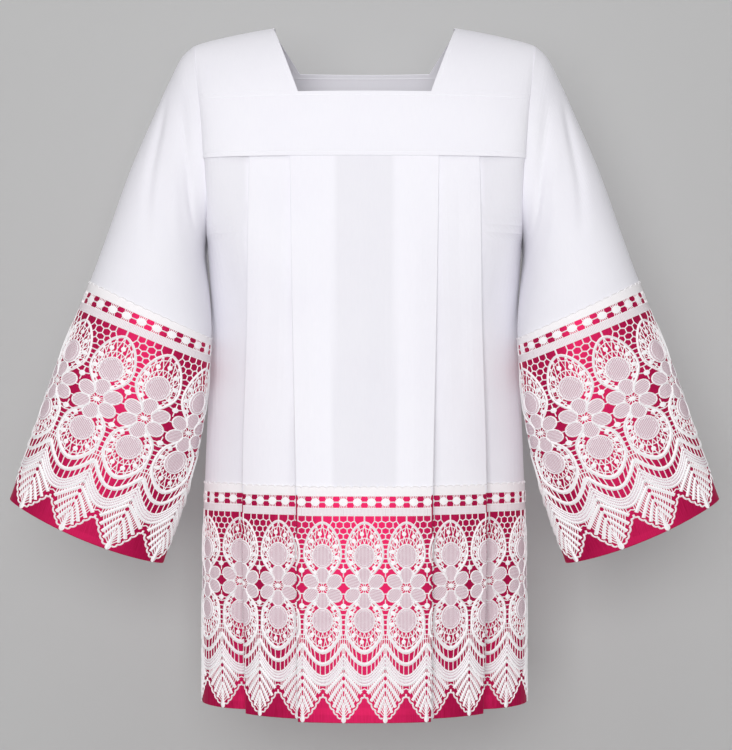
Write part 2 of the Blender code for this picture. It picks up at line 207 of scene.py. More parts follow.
def put_in_scene(name, data):
    """A new object that shows some data, linked into the scene."""
    thing = bpy.data.objects.new(name, data)
    bpy.context.scene.collection.objects.link(thing)
    return thing


def new_object(name, points, faces, uv=None, values=None, flat_faces=None):
    """A mesh object from arrays: points, faces of any size, a UV for each face corner, named
    numbers for each point, and which faces aren't shaded smooth."""
    mesh = bpy.data.meshes.new(name)
    mesh.from_pydata(points.tolist(), [], faces)
    if uv is not None:
        layer = mesh.uv_layers.new(name="cloth")
        layer.data.foreach_set("uv", np.asarray(uv, np.float32).ravel())
    for key, numbers in (values or {}).items():
        mesh.attributes.new(key, "FLOAT", "POINT").data.foreach_set("value", np.asarray(numbers, np.float32))
    if flat_faces is not None:
        sharp = np.broadcast_to(np.asarray(flat_faces, bool), len(faces))
        mesh.attributes.new("sharp_face", "BOOLEAN", "FACE").data.foreach_set("value", sharp)
    thing = put_in_scene(name, mesh)
    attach(thing, "root")
    print(f"{name}: {len(points)} points, {sum(len(f) - 2 for f in faces)} triangles")
    return thing


def shell(name, grid, half, across, down, closed=False, values=None):
    """Cloth from a grid of points: an outer face and an inner one, half a thickness to each side.
    Where half is 0 the two faces share their points, which closes an open edge. across and down
    are the lengths of cloth along the grid's columns and rows, and become its UV."""
    rows, columns = grid.shape[:2]
    half = np.broadcast_to(half, (rows, columns))
    normals = grid_normals(grid, closed)
    outer = (grid + normals * half[..., None]).reshape(-1, 3)
    inner = (grid - normals * half[..., None]).reshape(-1, 3)
    count = rows * columns
    own = half.ravel() > 1e-7
    number = np.where(own, count + np.cumsum(own) - 1, np.arange(count))
    points = np.concatenate([outer, inner[own]])
    wide = columns + 1 if closed else columns
    r, c = np.meshgrid(np.arange(rows - 1), np.arange(wide - 1), indexing="ij")
    corner_r = np.stack([r, r + 1, r + 1, r], axis=-1).reshape(-1, 4)
    corner_c = np.stack([c, c, c + 1, c + 1], axis=-1).reshape(-1, 4)
    flat = corner_r * columns + corner_c % columns
    faces = np.concatenate([flat, number[flat][:, ::-1]])
    uv_outer = np.stack([np.asarray(across)[corner_c], np.asarray(down)[corner_r]], axis=-1)
    uv = np.concatenate([uv_outer, uv_outer[:, ::-1]])
    shared = {k: np.concatenate([v.ravel(), v.ravel()[own]]) for k, v in (values or {}).items()}
    return new_object(name, points, faces.tolist(), uv, shared)


def edge_fade(distance, reach):
    """How much of its thickness cloth has near a turned edge: a quarter circle over the reach."""
    t = np.clip(distance / reach, 0, 1)
    return np.sqrt(np.clip(1 - (1 - t) ** 2, 0, 1))

# %% [markdown]
# ## The shape of the shoulders
#
# The armhole is a ring seen almost edge on. Over the shoulders, each height is a rib that starts on
# the centre line and ends on that ring, bent like a superellipse, which is flatter across the chest
# than an ellipse and turns faster at the side. Both the yoke and the straps are read off it.

# %% Armhole ring and shoulder surface
HALVINGS = 48


def armhole_xz(angle):
    """X and Z on the armhole ring: 0 is the shoulder, a quarter turn its front, a half beneath."""
    top, front, bottom = (np.array(p) for p in (ARMHOLE_TOP, ARMHOLE_FRONT, ARMHOLE_BOTTOM))
    middle = (top + bottom) / 2
    c, s = np.cos(angle)[..., None], np.sin(angle)[..., None]
    return middle + (top - bottom) / 2 * c + (front - middle) * s * s


def halved(test, low, high):
    """Where a test that is first true and then false changes over, found by halving."""
    for _ in range(HALVINGS):
        mid = (low + high) / 2
        ahead = test(mid)
        low, high = np.where(ahead, mid, low), np.where(ahead, high, mid)
    return (low + high) / 2


def armhole_edge(z, side):
    """The armhole's X and Y at a level."""
    angle = halved(lambda a: armhole_xz(a)[..., 1] > z, np.zeros_like(z), np.full_like(z, np.pi))
    return armhole_xz(angle)[..., 0], SIDES[side] * ARMHOLE_DEPTH[side] * np.sin(angle)


def shoulder_point(x, over, side):
    """The surface at a distance x from the centre: over is 0 at the yoke seam, and a quarter turn on
    the ridge. share is the superellipse 1 = share^n + (x / edge)^n."""
    edge = armhole_xz(np.pi / 2 - over)
    edge_y = SIDES[side] * ARMHOLE_DEPTH[side] * np.cos(over)
    depth = float(eased(YOKE_Z, TORSO["z"], TORSO[side]))
    centre_y = SIDES[side] * depth * np.cos(over) ** (2 / ROUNDNESS_OVER)
    centre_z = YOKE_Z + (CENTRE_TOP_Z - YOKE_Z) * np.sin(over) ** (2 / ROUNDNESS_OVER)
    n = ROUNDNESS_ACROSS + (ROUNDNESS_AT_RIDGE - ROUNDNESS_ACROSS) * np.sin(over)
    share = (1 - np.clip(x / edge[..., 0], 0, 1) ** n) ** (1 / n)
    y = edge_y + (centre_y - edge_y) * share
    z = edge[..., 1] + (centre_z - edge[..., 1]) * share
    return np.stack([x + 0 * over, y, z], axis=-1)


def over_at(x, z, side):
    """How far over the shoulder the surface reaches a level."""
    x, z = np.broadcast_arrays(np.asarray(x, float), np.asarray(z, float))
    low, high = np.zeros(x.shape), np.full(x.shape, np.pi / 2)
    return halved(lambda over: shoulder_point(x, over, side)[..., 2] < z, low, high)

# %% [markdown]
# ## The pleated body
#
# A knife pleat is a strip of cloth folded back under itself and out again, pressed so that one fold
# shows. Each section is a list of runs: a flat run, a turn, the hidden run back, a turn, and so on.
# It is worked out first as if the body were flat, as a distance along and a distance behind, and
# then wrapped on the body's own curve. The layers step further apart towards the hem, where the
# pleats fall open.

# %% Sections of the pleated cloth
TURN_STEPS = 8
FLAT_STEPS = (14, 8, 15, 8, 22)
CURVE_POINTS = 241
SIDE_POINTS = 40
BACKING_FADE = 0.002


def base_curve(z, side):
    """Half a level of the body, centre to side: its points, outward normals and lengths."""
    depth = float(eased(z, TORSO["z"], TORSO[side]))
    edge_x, edge_y = float(eased(z, TORSO["z"], TORSO["half_width"])), 0.0
    if z > UNDERARM_Z:
        ring_x, ring_y = armhole_edge(np.array(z), side)
        edge_x, edge_y = float(ring_x), abs(float(ring_y))
    turn = np.linspace(0, np.pi / 2, CURVE_POINTS)
    x = edge_x * np.sin(turn) ** (2 / ROUNDNESS_ACROSS)
    aside = 1 - np.cos(turn) ** (2 / ROUNDNESS_ACROSS)
    held_out = ARMHOLE_DEPTH[side] * (1 - smooth((YOKE_Z - z) / (YOKE_Z - FLARE_END_Z)))
    y = depth * (1 - aside) + held_out * aside + (edge_y - held_out) * aside**SIDE_DRAW_IN
    y *= SIDES[side]
    points = np.stack([x, y], axis=1)
    along = run_along(points)
    tangent = unit(np.gradient(points, along, axis=0))
    tangent[0] = (1, 0)
    normals = SIDES[side] * np.stack([-tangent[:, 1], tangent[:, 0]], axis=1)
    return points, normals, along


def fold_turns(fold, hidden, upper, lower, fold_r, hidden_r):
    """The two turns of a pleat. The cloth between them is the inner tangent of both circles."""
    first = np.array([fold - fold_r, upper - fold_r])
    second = np.array([hidden + hidden_r, lower + hidden_r])
    gap = second - first
    slant = np.arctan2(gap[1], gap[0]) % (2 * np.pi) - np.arcsin((fold_r + hidden_r) / np.hypot(*gap)) - np.pi
    out = np.linspace(np.pi / 2, -np.pi / 2 + slant, TURN_STEPS + 1)
    back = np.linspace(np.pi / 2 + slant, 3 * np.pi / 2, TURN_STEPS + 1)
    turn_out = first + fold_r * np.stack([np.cos(out), np.sin(out)], axis=1)
    turn_back = second + hidden_r * np.stack([np.cos(back), np.sin(back)], axis=1)
    return turn_out, turn_back


def folded_half(z, side):
    """Half a level as runs of (distance along, offset): flat ones at even places, turns at odd."""
    points, _, along = base_curve(z, side)
    end = along[-1] - SEAM / 2
    runs, start, offset = [], 0.0, 0.0
    for pleat in PLEATS[side]:
        row = {key: float(eased(z, pleat["z"], pleat[key])) for key in pleat if key != "z"}
        fold, hidden = np.interp([row["fold_x"], row["hidden_x"]], points[:, 0], along)
        lower = offset - row["step"]
        out, back = fold_turns(fold, hidden, offset, lower, row["fold_r"], row["hidden_r"])
        runs += [np.array([[start, offset], out[0]]), out, np.array([out[-1], back[0]]), back]
        start, offset, last_fold = back[-1][0], lower, fold
    opened = smooth((YOKE_Z - z) / (YOKE_Z - HEM_Z))
    leave = last_fold + (start - last_fold) * opened * PLEAT_OPENING
    side_run = np.linspace(start, end, SIDE_POINTS)
    fade = smooth((side_run - leave) / (end - leave))
    runs.append(np.stack([side_run, offset * (1 - fade)], axis=1))
    return runs


def half_row(z, side):
    """One level of cloth, centre to side: X and Y, and whether layers lie beneath each point."""
    flat, backed = [], []
    for i, run in enumerate(folded_half(z, side)):
        if i % 2 == 0:
            run = at_lengths(run, np.linspace(0, run_along(run)[-1], FLAT_STEPS[i // 2] + 1))
        flat.append(run[1:] if flat else run)
    flat = np.concatenate(flat)
    points, normals, along = base_curve(z, side)
    place = np.stack([np.interp(flat[:, 0], along, points[:, k]) for k in range(2)], axis=1)
    facing = np.stack([np.interp(flat[:, 0], along, normals[:, k]) for k in range(2)], axis=1)
    for pleat in PLEATS[side]:
        hidden_x, fold_x = (float(eased(z, pleat["z"], pleat[key])) for key in ("hidden_x", "fold_x"))
        begun = smooth((place[:, 0] - hidden_x + BACKING_FADE) / (2 * BACKING_FADE))
        backed.append(begun * smooth((fold_x + 2 * BACKING_FADE - place[:, 0]) / BACKING_FADE))
    return place + unit(facing) * flat[:, 1:2], np.maximum(*backed)


# Soft vertical creases: across and height of both ends, how deep, how wide. Both halves have them.
BODY_CREASES = {
    "front": (
        # x_top, z_top, x_low, z_low, depth, width
        (0.030, -0.215, 0.022, -0.560, 0.0012, 0.016),
        (0.070, -0.240, 0.064, -0.700, -0.0010, 0.014),
        (0.122, -0.210, 0.128, -0.520, 0.0012, 0.012),
        (0.182, -0.300, 0.186, -0.620, 0.0022, 0.013),
        (0.196, -0.250, 0.170, -0.400, 0.0020, 0.012),
        (0.000, -0.520, 0.000, -0.900, 0.0012, 0.030),
        (0.125, -0.640, 0.135, -0.905, -0.0014, 0.014),
    ),
    "back": (
        (0.020, -0.230, 0.028, -0.600, 0.0016, 0.018),
        (0.066, -0.260, 0.060, -0.640, -0.0012, 0.015),
        (0.120, -0.220, 0.124, -0.560, 0.0016, 0.013),
        (0.185, -0.320, 0.188, -0.660, 0.0022, 0.014),
        (0.000, -0.600, 0.010, -0.900, 0.0014, 0.030),
        (0.130, -0.600, 0.126, -0.880, -0.0014, 0.014),
    ),
}


CREASE_RUN_ON = 0.1


def crease_depth(across, height, creases):
    """The sum of soft troughs: a bell across each line, fading in and out along its length."""
    total = np.zeros(np.broadcast(across, height).shape)
    for x_top, z_top, x_low, z_low, depth, width in creases:
        t = (z_top - height) / (z_top - z_low)
        line = x_top + (x_low - x_top) * np.clip(t, 0, 1)
        bell = depth * np.exp(-(((across - line) / width) ** 2))
        total += bell * smooth((t + CREASE_RUN_ON) * 3) * smooth((1 + CREASE_RUN_ON - t) * 3)
    return total


def body_grid(levels, side):
    """Levels of the pleated cloth, side seam to side seam, columns running so that it faces out.
    Also each column's share of the level's length, and the strength of backing."""
    rows, backing = [], []
    for z in levels:
        half, backed = half_row(z, side)
        row = np.concatenate([half[::-1] * (-1, 1), half[1:]])
        rows.append(np.column_stack([row, np.full(len(row), z)]))
        backing.append(np.concatenate([backed[::-1], backed[1:]]))
    grid, backing = np.stack(rows), np.stack(backing)
    reach = (np.abs(grid[..., 0]) / TORSO["half_width"][-1]) ** 4
    grid[..., 2] += SIDE_HEM_RISE * reach * smooth((LACE_TOP_Z - grid[..., 2]) / (LACE_TOP_Z - HEM_Z))
    sway = crease_depth(np.abs(grid[..., 0]), grid[..., 2], BODY_CREASES[side])
    grid[..., 1] -= SIDES[side] * sway * (1 - reach)
    if side == "back":
        grid, backing = grid[:, ::-1], backing[:, ::-1]
    return grid, backing


def row_lengths(grid):
    """Lengths of cloth across the middle row and down the middle column of a grid."""
    return run_along(grid[len(grid) // 2]), run_along(grid[:, grid.shape[1] // 2])

# %% [markdown]
# ## Body panels and satin hem
#
# The white panels are thin, plain-woven cloth. Below them hangs a separate band of satin, sewn on
# under the lace's heading. Both are read from the same sections, so their pleats line up exactly.

# %% Make the body panels and the satin hem
CLOTH_HALF = 0.0003
SATIN_HALF = 0.0003
HEM_DOUBLING = 1.8
CLOSE = 0.0006
BODY_ROWS, BODY_HEM_ROWS = 44, 3
SATIN_ROWS, SATIN_HEM_ROWS = 34, 4
pieces = {}


def hem_half(rows, columns, thickness, hem_rows):
    """Half thickness over a grid: nothing at the outermost rows and columns, and a doubled hem in
    the lowest rows."""
    half = np.full((rows, columns), thickness)
    half[-hem_rows:] *= HEM_DOUBLING
    half[0] = half[-1] = half[:, 0] = half[:, -1] = 0.0
    return half


def close_levels(top, bottom, count, edge):
    """Levels with two more close to each end, so that the edges turn sharply."""
    inner = np.linspace(top - 3 * edge, bottom + 3 * edge, count)
    return np.concatenate([[top, top - edge], inner, [bottom + edge, bottom]])


for side in SIDES:
    levels = close_levels(YOKE_Z - SEAM, SATIN_TOP_Z + SEAM, BODY_ROWS, CLOSE)
    grid, backing = body_grid(levels, side)
    across, down = row_lengths(grid)
    half = hem_half(*grid.shape[:2], CLOTH_HALF, BODY_HEM_ROWS)
    # Where layers lie beneath, the panel's white is painted brighter as painted light, and a single layer
    # gets painted shade.
    backed = {"backed": backing}
    pieces[f"body_{side}"] = shell(f"body_{side}_cloth", grid, half, across, down, values=backed)

    levels = close_levels(SATIN_TOP_Z - SEAM, HEM_Z, SATIN_ROWS, CLOSE)
    grid, backing = body_grid(levels, side)
    across, down = row_lengths(grid)
    half = hem_half(*grid.shape[:2], SATIN_HALF, SATIN_HEM_ROWS)
    pieces[f"satin_{side}"] = shell(f"satin_{side}_cloth", grid, half, across, down)

# %% [markdown]
# ## Yoke and straps
#
# The yoke is a flat band of doubled cloth round the chest, and the straps join it over the
# shoulders. Doubled cloth is thicker and its edges are turned, so its thickness fades over a longer
# reach, and a row of stitches a few millimetres in from each edge draws it down in a fine furrow.

# %% Make the yoke and the straps
BAND_HALF = 0.0007
BAND_EDGE = 0.0007
TOPSTITCH_IN = 0.0055
FURROW = 0.00028
FURROW_WIDTH = 0.0008
LAP_LIFT = 0.0010
TUCK = 0.0025
BAND_ROWS = 22
YOKE_COLUMNS = 91
STRAP_WIDTH = 0.115
STRAP_ROWS = 34


def spread_from_edges(total, count, edge):
    """Distances from 0 to the total with rows close to both ends and at the topstitching, whose own
    row is number STITCH_ROW."""
    close = np.array([0, 0.15, 0.45, 1.0]) * edge
    stitch = TOPSTITCH_IN + np.array([-0.0012, -0.0005, 0, 0.0005, 0.0012])
    first = np.concatenate([close, stitch])
    middle = np.linspace(stitch[-1], total - stitch[-1], count)[1:-1]
    return np.concatenate([first, middle, total - first[::-1]])


STITCH_ROW = 6


def furrow(distance):
    """How far a row of stitches draws cloth down: a narrow bell about the stitching."""
    return FURROW * np.exp(-(((distance - TOPSTITCH_IN) / FURROW_WIDTH) ** 2))


def make_yoke(side):
    """Rows of constant height from the neckline to below the pleats' top, each from armhole to
    armhole. The lowest rows stand off the body, because they lap over it."""
    neck_z = NECK_Z[side]
    drop = neck_z - (YOKE_Z - YOKE_LAP)
    from_top = spread_from_edges(drop, BAND_ROWS, BAND_EDGE)
    levels = neck_z - from_top
    share = np.linspace(-1, 1, YOKE_COLUMNS)
    share = np.sign(share) * np.abs(share) ** 0.8
    share = np.concatenate([[-1, -0.998, -0.994], share[1:-1], [0.994, 0.998, 1]])
    rows = []
    for z in levels:
        held = max(z, YOKE_Z)
        edge_x = float(armhole_edge(np.array(held), side)[0]) - SEAM / 2
        x = np.abs(share) * edge_x
        row = shoulder_point(x, over_at(x, held, side), side)
        row[:, 0] *= np.sign(share)
        row[:, 2] += z - held
        rows.append(row)
    grid = np.stack(rows)
    if side == "back":
        grid = grid[:, ::-1]
    lift = LAP_LIFT * np.clip((neck_z - grid[..., 2]) / (neck_z - YOKE_Z), 0, 1) ** 2
    edge_down = np.minimum(from_top, drop - from_top)[:, None]
    lift = lift - furrow(edge_down)
    grid = grid + grid_normals(grid) * lift[..., None]
    side_in = np.linalg.norm(grid - grid[:, :1], axis=2)
    side_in = np.minimum(side_in, side_in[:, ::-1])
    half = BAND_HALF * edge_fade(edge_down, BAND_EDGE) * edge_fade(side_in, BAND_EDGE)
    half[:, [0, -1]] = 0.0
    across, down = row_lengths(grid)
    return shell(f"yoke_{side}_cloth", grid, half, across, down), grid


def strap_half(side, steps, shares):
    """Half of the left strap, from its seam up to the ridge. Its neck edge leans outwards from
    the neckline's corner to the top of the shoulder, in proportion to the height."""
    neck_z, neck_half = NECK_Z[side], NECK_HALF[side]
    seam_z = neck_z + SEAM
    edge_x = float(armhole_edge(np.array(seam_z), side)[0])
    start = over_at(neck_half + (edge_x - neck_half) * shares, seam_z, side)
    rows = []
    for step in steps:
        over = start + (np.pi / 2 - start) * step
        level = shoulder_point(np.full(len(shares), neck_half), over, side)[:, 2]
        neck_x = NECK_HALF_TOP - (NECK_HALF_TOP - neck_half) * np.clip(level / neck_z, 0, 1)
        outer_x = armhole_xz(np.pi / 2 - over)[:, 0] - SEAM / 2
        rows.append(shoulder_point(neck_x + (outer_x - neck_x) * shares, over, side))
    return np.stack(rows)


def mirrored(grid):
    """The same piece on the other side, columns turned round so that it still faces out."""
    return (grid * (-1, 1, 1))[:, ::-1]


def strap_grid():
    """The left strap, from its back seam over the shoulder to its front seam."""
    shares = spread_from_edges(STRAP_WIDTH, BAND_ROWS, BAND_EDGE) / STRAP_WIDTH
    steps = np.linspace(0, 1, STRAP_ROWS)
    steps = np.concatenate([[0, 0.003, 0.010], steps[1:]])
    front = strap_half("front", steps, shares)
    back = strap_half("back", steps, shares)
    grid = np.concatenate([back[:-1], front[::-1]])
    normals = grid_normals(grid)
    ends = []
    for end, inner in ((0, 1), (-1, -2)):
        ends.append(grid[end] + unit(grid[end] - grid[inner]) * TUCK - normals[end] * BAND_HALF * 0.6)
    return np.concatenate([ends[0][None], grid, ends[1][None]])


def make_strap(name, grid):
    neck_in = np.linalg.norm(grid - (grid[:, :1] if name == "left" else grid[:, -1:]), axis=2)
    outer_in = np.linalg.norm(grid - (grid[:, -1:] if name == "left" else grid[:, :1]), axis=2)
    grid = grid - grid_normals(grid) * furrow(neck_in)[..., None]
    half = BAND_HALF * edge_fade(neck_in, BAND_EDGE) * edge_fade(outer_in, BAND_EDGE)
    half[[0, -1]] = half[:, [0, -1]] = 0.0
    across, down = row_lengths(grid)
    return shell(f"strap_{name}_cloth", grid, half, across, down), grid


band_grids = {}
for side in SIDES:
    pieces[f"yoke_{side}"], band_grids[f"yoke_{side}"] = make_yoke(side)
left_strap = strap_grid()
for name, grid in (("left", left_strap), ("right", mirrored(left_strap))):
    pieces[f"strap_{name}"], band_grids[f"strap_{name}"] = make_strap(name, grid)

# %% [markdown]
# ## Sleeves and cuffs
#
# A bell sleeve is a tube whose sections start as the armhole and turn into a wide flat oval. Each
# section is an ellipse hung between the sleeve's outer and inner edges, with a bow that lets the
# seam curve round the shoulder. Soft troughs run down from the shoulder, where the cloth has more
# width than it needs.

# %% Sleeve surface
SLEEVE_COLUMNS = 144
FINE_RING = 721
SLEEVE_ROWS, CUFF_ROWS = 44, 36
CUFF_HEM = 0.006
ALLOWANCE_DRAW_IN = 0.022

# Troughs and ridges of the sleeve: turn round it in degrees and run down it in metres at the
# start, the middle and the end, then how deep it sinks (a ridge rises) and how wide it is.
SLEEVE_CREASES = (
    (((36, 0.040), (85, 0.062), (128, 0.105)), 0.0026, 0.015),
    (((24, 0.066), (50, 0.150), (84, 0.275)), 0.0034, 0.013),
    (((60, 0.085), (86, 0.130), (116, 0.215)), -0.0016, 0.017),
    (((88, 0.350), (84, 0.480), (82, 0.640)), 0.0026, 0.026),
    (((40, 0.390), (38, 0.500), (36, 0.640)), -0.0020, 0.024),
    (((140, 0.350), (144, 0.480), (148, 0.630)), 0.0022, 0.022),
    (((-36, 0.040), (-88, 0.060), (-146, 0.135)), 0.0028, 0.014),
    (((-24, 0.070), (-54, 0.150), (-88, 0.270)), 0.0034, 0.014),
    (((-128, 0.120), (-134, 0.220), (-140, 0.320)), 0.0020, 0.018),
    (((-90, 0.350), (-87, 0.480), (-84, 0.640)), 0.0026, 0.026),
    (((-40, 0.400), (-43, 0.520), (-46, 0.640)), -0.0020, 0.024),
)
# Cloth in one degree of turn, on average.
DEGREE_RUN = 0.0016


def sleeve_ring(down, angles):
    """One section of the left sleeve: 0 at its outer edge, 90 degrees in front, 180 inside."""
    row = {key: float(eased(down, SLEEVE["down"], SLEEVE[key])) for key in SLEEVE if key != "down"}
    outer = np.array([row["outer_x"], row["outer_z"]])
    inner = np.array([row["inner_x"], row["inner_z"]])
    rounding = 1 - smooth(down / SLEEVE["down"][4])
    bow = (np.array(ARMHOLE_FRONT) - (np.array(ARMHOLE_TOP) + np.array(ARMHOLE_BOTTOM)) / 2) * rounding
    fall = smooth((down - SLEEVE_LACE_DOWN) / (CUFF_DOWN - SLEEVE_LACE_DOWN))
    c, s = np.cos(angles)[:, None], np.sin(angles)[:, None]
    xz = (outer + inner) / 2 + (outer - inner) / 2 * c + (bow + np.array([0, -CUFF_DROOP * fall])) * s * s
    y = row["middle_y"] - row["half_depth"] * np.sin(angles)
    return np.column_stack([xz[:, 0], y, xz[:, 1]])


def even_angles(down, columns):
    """Angles that divide a section into equal lengths of cloth, from its inner edge round."""
    fine = np.linspace(np.pi, -np.pi, FINE_RING)
    ring = sleeve_ring(down, fine)
    return np.interp(np.arange(columns) / columns * run_along(ring)[-1], run_along(ring), fine)


def sleeve_grid(downs, columns=SLEEVE_COLUMNS):
    """Sections of the left sleeve with its creases. A crease is a bell across its path, sunk
    along the surface's normal, and it fades in and out along the path."""
    angles = np.stack([even_angles(d, columns) for d in downs])
    grid = np.stack([sleeve_ring(d, a) for d, a in zip(downs, angles, strict=True)])
    turn = np.degrees(angles)
    down = np.asarray(downs)[:, None]
    sink = np.zeros(turn.shape)
    for path, depth, width in SLEEVE_CREASES:
        nearest, share = np.full(turn.shape, np.inf), np.zeros(turn.shape)
        for k, ((turn_0, down_0), (turn_1, down_1)) in enumerate(zip(path[:-1], path[1:], strict=True)):
            across, along = (turn_1 - turn_0) * DEGREE_RUN, down_1 - down_0
            x, y = ((turn - turn_0 + 180) % 360 - 180) * DEGREE_RUN, down - down_0
            part = np.clip((x * across + y * along) / (across**2 + along**2), 0, 1)
            apart = np.hypot(x - part * across, y - part * along)
            share = np.where(apart < nearest, (k + part) / (len(path) - 1), share)
            nearest = np.minimum(nearest, apart)
        sink += depth * np.exp(-((nearest / width) ** 2)) * smooth(share * 3) * smooth((1 - share) * 2.5)
    return grid - grid_normals(grid, closed=True) * sink[..., None]


def sleeve_lengths(grid):
    ring = np.concatenate([grid[len(grid) // 2], grid[len(grid) // 2][:1]])
    return run_along(ring), run_along(grid[:, grid.shape[1] // 4])


def tube_half(downs, thickness, hem):
    """Half thickness for a tube: nothing at its ends, and doubled within its hem."""
    downs = np.asarray(downs)
    half = np.full(len(downs), thickness)
    half[downs > downs[-1] - hem] *= HEM_DOUBLING
    half[[0, -1]] = 0.0
    return half[:, None]


def close_steps(first, last, count, edge):
    inner = np.linspace(first + 3 * edge, last - 3 * edge, count)
    return np.concatenate([[first, first + edge], inner, [last - edge, last]])


SLEEVE_STAND_OFF = 0.0006
sleeve_downs = close_steps(0.0, SLEEVE_SATIN_DOWN, SLEEVE_ROWS, CLOSE)
cuff_downs = close_steps(SLEEVE_SATIN_DOWN + SEAM, CUFF_DOWN, CUFF_ROWS, CLOSE)
sleeve = sleeve_grid(sleeve_downs)
sleeve[..., 0] += (SLEEVE_STAND_OFF * smooth(1 - sleeve_downs / 0.03))[:, None]
top_ring = sleeve[:1]
inwards = top_ring.mean(axis=1, keepdims=True) - top_ring
allowance = top_ring + inwards * ALLOWANCE_DRAW_IN - (TUCK, 0, 0)
sleeve = np.concatenate([allowance, sleeve])
sleeve_downs = np.concatenate([[-TUCK], sleeve_downs])
cuff = sleeve_grid(cuff_downs)
for name in ("left", "right"):
    for part, grid, downs, half in (
        ("sleeve", sleeve, sleeve_downs, CLOTH_HALF),
        ("cuff_satin", cuff, cuff_downs, SATIN_HALF),
    ):
        placed = grid if name == "left" else mirrored(grid)
        across, down = sleeve_lengths(placed)
        walls = tube_half(downs, half, CUFF_HEM if part == "cuff_satin" else 0.0)
        pieces[f"{part}_{name}"] = shell(
            f"{part}_{name}_cloth", placed, walls, across, down, closed=True,
            values={"backed": np.zeros(placed.shape[:2])},
        )

# %% [markdown]
# ## The lace, drawn flat
#
# Guipure lace is embroidered on a cloth that is then dissolved, so it is all thread: raised cords,
# leaves filled with fine weaving, and open ground between. Here one repeat is drawn flat, in
# millimetres, x from the middle of a medallion and t down from the heading. A cord is a ridge with
# three edges carried along a path. A leaf is a thin slab whose weave is a finish, because single
# threads of it would be far too many. The repeat is left and right alike.

# %% Cords, leaves and beads of one repeat
REPEAT = 58.0
LACE_DEPTH = 308.0
drawn = {key: [] for key in ("points", "uv", "woven", "quads", "tris", "flat_quads", "flat_tris")}


def add_shape(points, quads=(), tris=(), woven=0.0, turn=0.0, flat_quads=True, flat_tris=True):
    """Puts a shape's arrays into the drawing. Its UV is its own x and t in metres, turned, so that
    the weave of a leaf can lie at any angle. x, t and height are a left-handed set, as t runs down,
    so a shape faces out when its volume, the sum of its faces' triple products, is negative. Faces
    marked flat keep their edges crisp."""
    first = sum(len(p) for p in drawn["points"])
    quads, tris = np.asarray(quads, int).reshape(-1, 4), np.asarray(tris, int).reshape(-1, 3)
    fans = np.concatenate([quads[:, [0, 1, 2]], quads[:, [0, 2, 3]], tris])
    a, b, c = (points[fans[:, k]] - points.mean(axis=0) for k in range(3))
    if np.sum(a * np.cross(b, c)) > 0:
        quads, tris = quads[:, ::-1], tris[:, ::-1]
    c, s = np.cos(turn), np.sin(turn)
    drawn["points"].append(points)
    drawn["uv"].append(points[:, :2] @ np.array([[c, s], [-s, c]]) / 1000)
    drawn["woven"].append(np.full(len(points), woven))
    drawn["quads"].append(quads + first)
    drawn["tris"].append(tris + first)
    drawn["flat_quads"].append(np.broadcast_to(flat_quads, len(quads)))
    drawn["flat_tris"].append(np.broadcast_to(flat_tris, len(tris)))


def softened(points, count):
    """A smooth path through a few points, evenly divided: each of x and t is eased by length."""
    points = np.asarray(points, float)
    run = run_along(points)
    at = np.linspace(0, run[-1], 12 * len(points))
    dense = np.stack([eased(at, run, points[:, k]) for k in range(2)], axis=1)
    return at_lengths(dense, np.linspace(0, run_along(dense)[-1], count))


def both_sides(points):
    """A path that ends on the centre line, continued as its mirror image."""
    points = np.asarray(points, float)
    return np.concatenate([points, points[-2::-1] * (-1, 1)])


def cord(path, width, height=None, closed=False, base=0.0):
    """A ridge along a path: at each point one vertex to each side and one above, joined along."""
    path = np.asarray(path, float)
    n = len(path)
    height = 0.55 * np.asarray(width) if height is None else height
    step = np.roll(path, -1, axis=0) - np.roll(path, 1, axis=0) if closed else np.gradient(path, axis=0)
    side = unit(np.stack([step[:, 1], -step[:, 0]], axis=1)) * (np.broadcast_to(width, n) / 2)[:, None]
    low = np.full((n, 1), base)
    top = low + np.broadcast_to(height, n)[:, None]
    lines = ((path - side, low), (path, top), (path + side, low))
    points = np.concatenate([np.hstack(line) for line in lines])
    a = np.arange(n if closed else n - 1)
    b = (a + 1) % n
    edges = ((0, 1), (1, 2), (2, 0))
    quads = [np.stack([a + i * n, b + i * n, b + j * n, a + j * n], axis=1) for i, j in edges]
    quads = np.concatenate(quads)
    ends = [] if closed else [(0, n, 2 * n), (n - 1, 3 * n - 1, 2 * n - 1)]
    add_shape(points, quads, ends, flat_quads=np.arange(len(quads)) >= 2 * len(a))


def both_cords(path, width, **more):
    """A cord and its mirror image about the centre line."""
    path = np.asarray(path, float)
    cord(path, width, **more)
    cord(path * (-1, 1), width, **more)


def leaf(outline, height, turn=0.0, crown=0.0, woven=1.0, base=0.0, rings=1):
    """A slab with a given outline: its top is a fan round a middle point, crowned a little, and cut
    into rings if it has to follow a fold."""
    outline = np.asarray(outline, float)
    n = len(outline)
    middle = outline.mean(axis=0)
    points = [np.hstack([outline, np.full((n, 1), base)])]
    for share in np.arange(rings) / rings:
        level = np.full((n, 1), base + height + crown * share)
        points.append(np.hstack([outline + (middle - outline) * share, level]))
    points = np.concatenate([*points, [[*middle, base + height + crown], [*middle, base]]])
    a = np.arange(n)
    b = (a + 1) % n
    sides = np.concatenate([np.stack([a, b, b + n, a + n], axis=1) + k * n for k in range(rings)])
    top = np.stack([a + rings * n, b + rings * n, np.full(n, len(points) - 2)], axis=1)
    bottom = np.stack([b, a, np.full(n, len(points) - 1)], axis=1)
    flat_sides, flat_ends = np.arange(len(sides)) < n, np.arange(2 * n) >= n
    add_shape(points, sides, np.concatenate([top, bottom]), woven, turn, flat_sides, flat_ends)


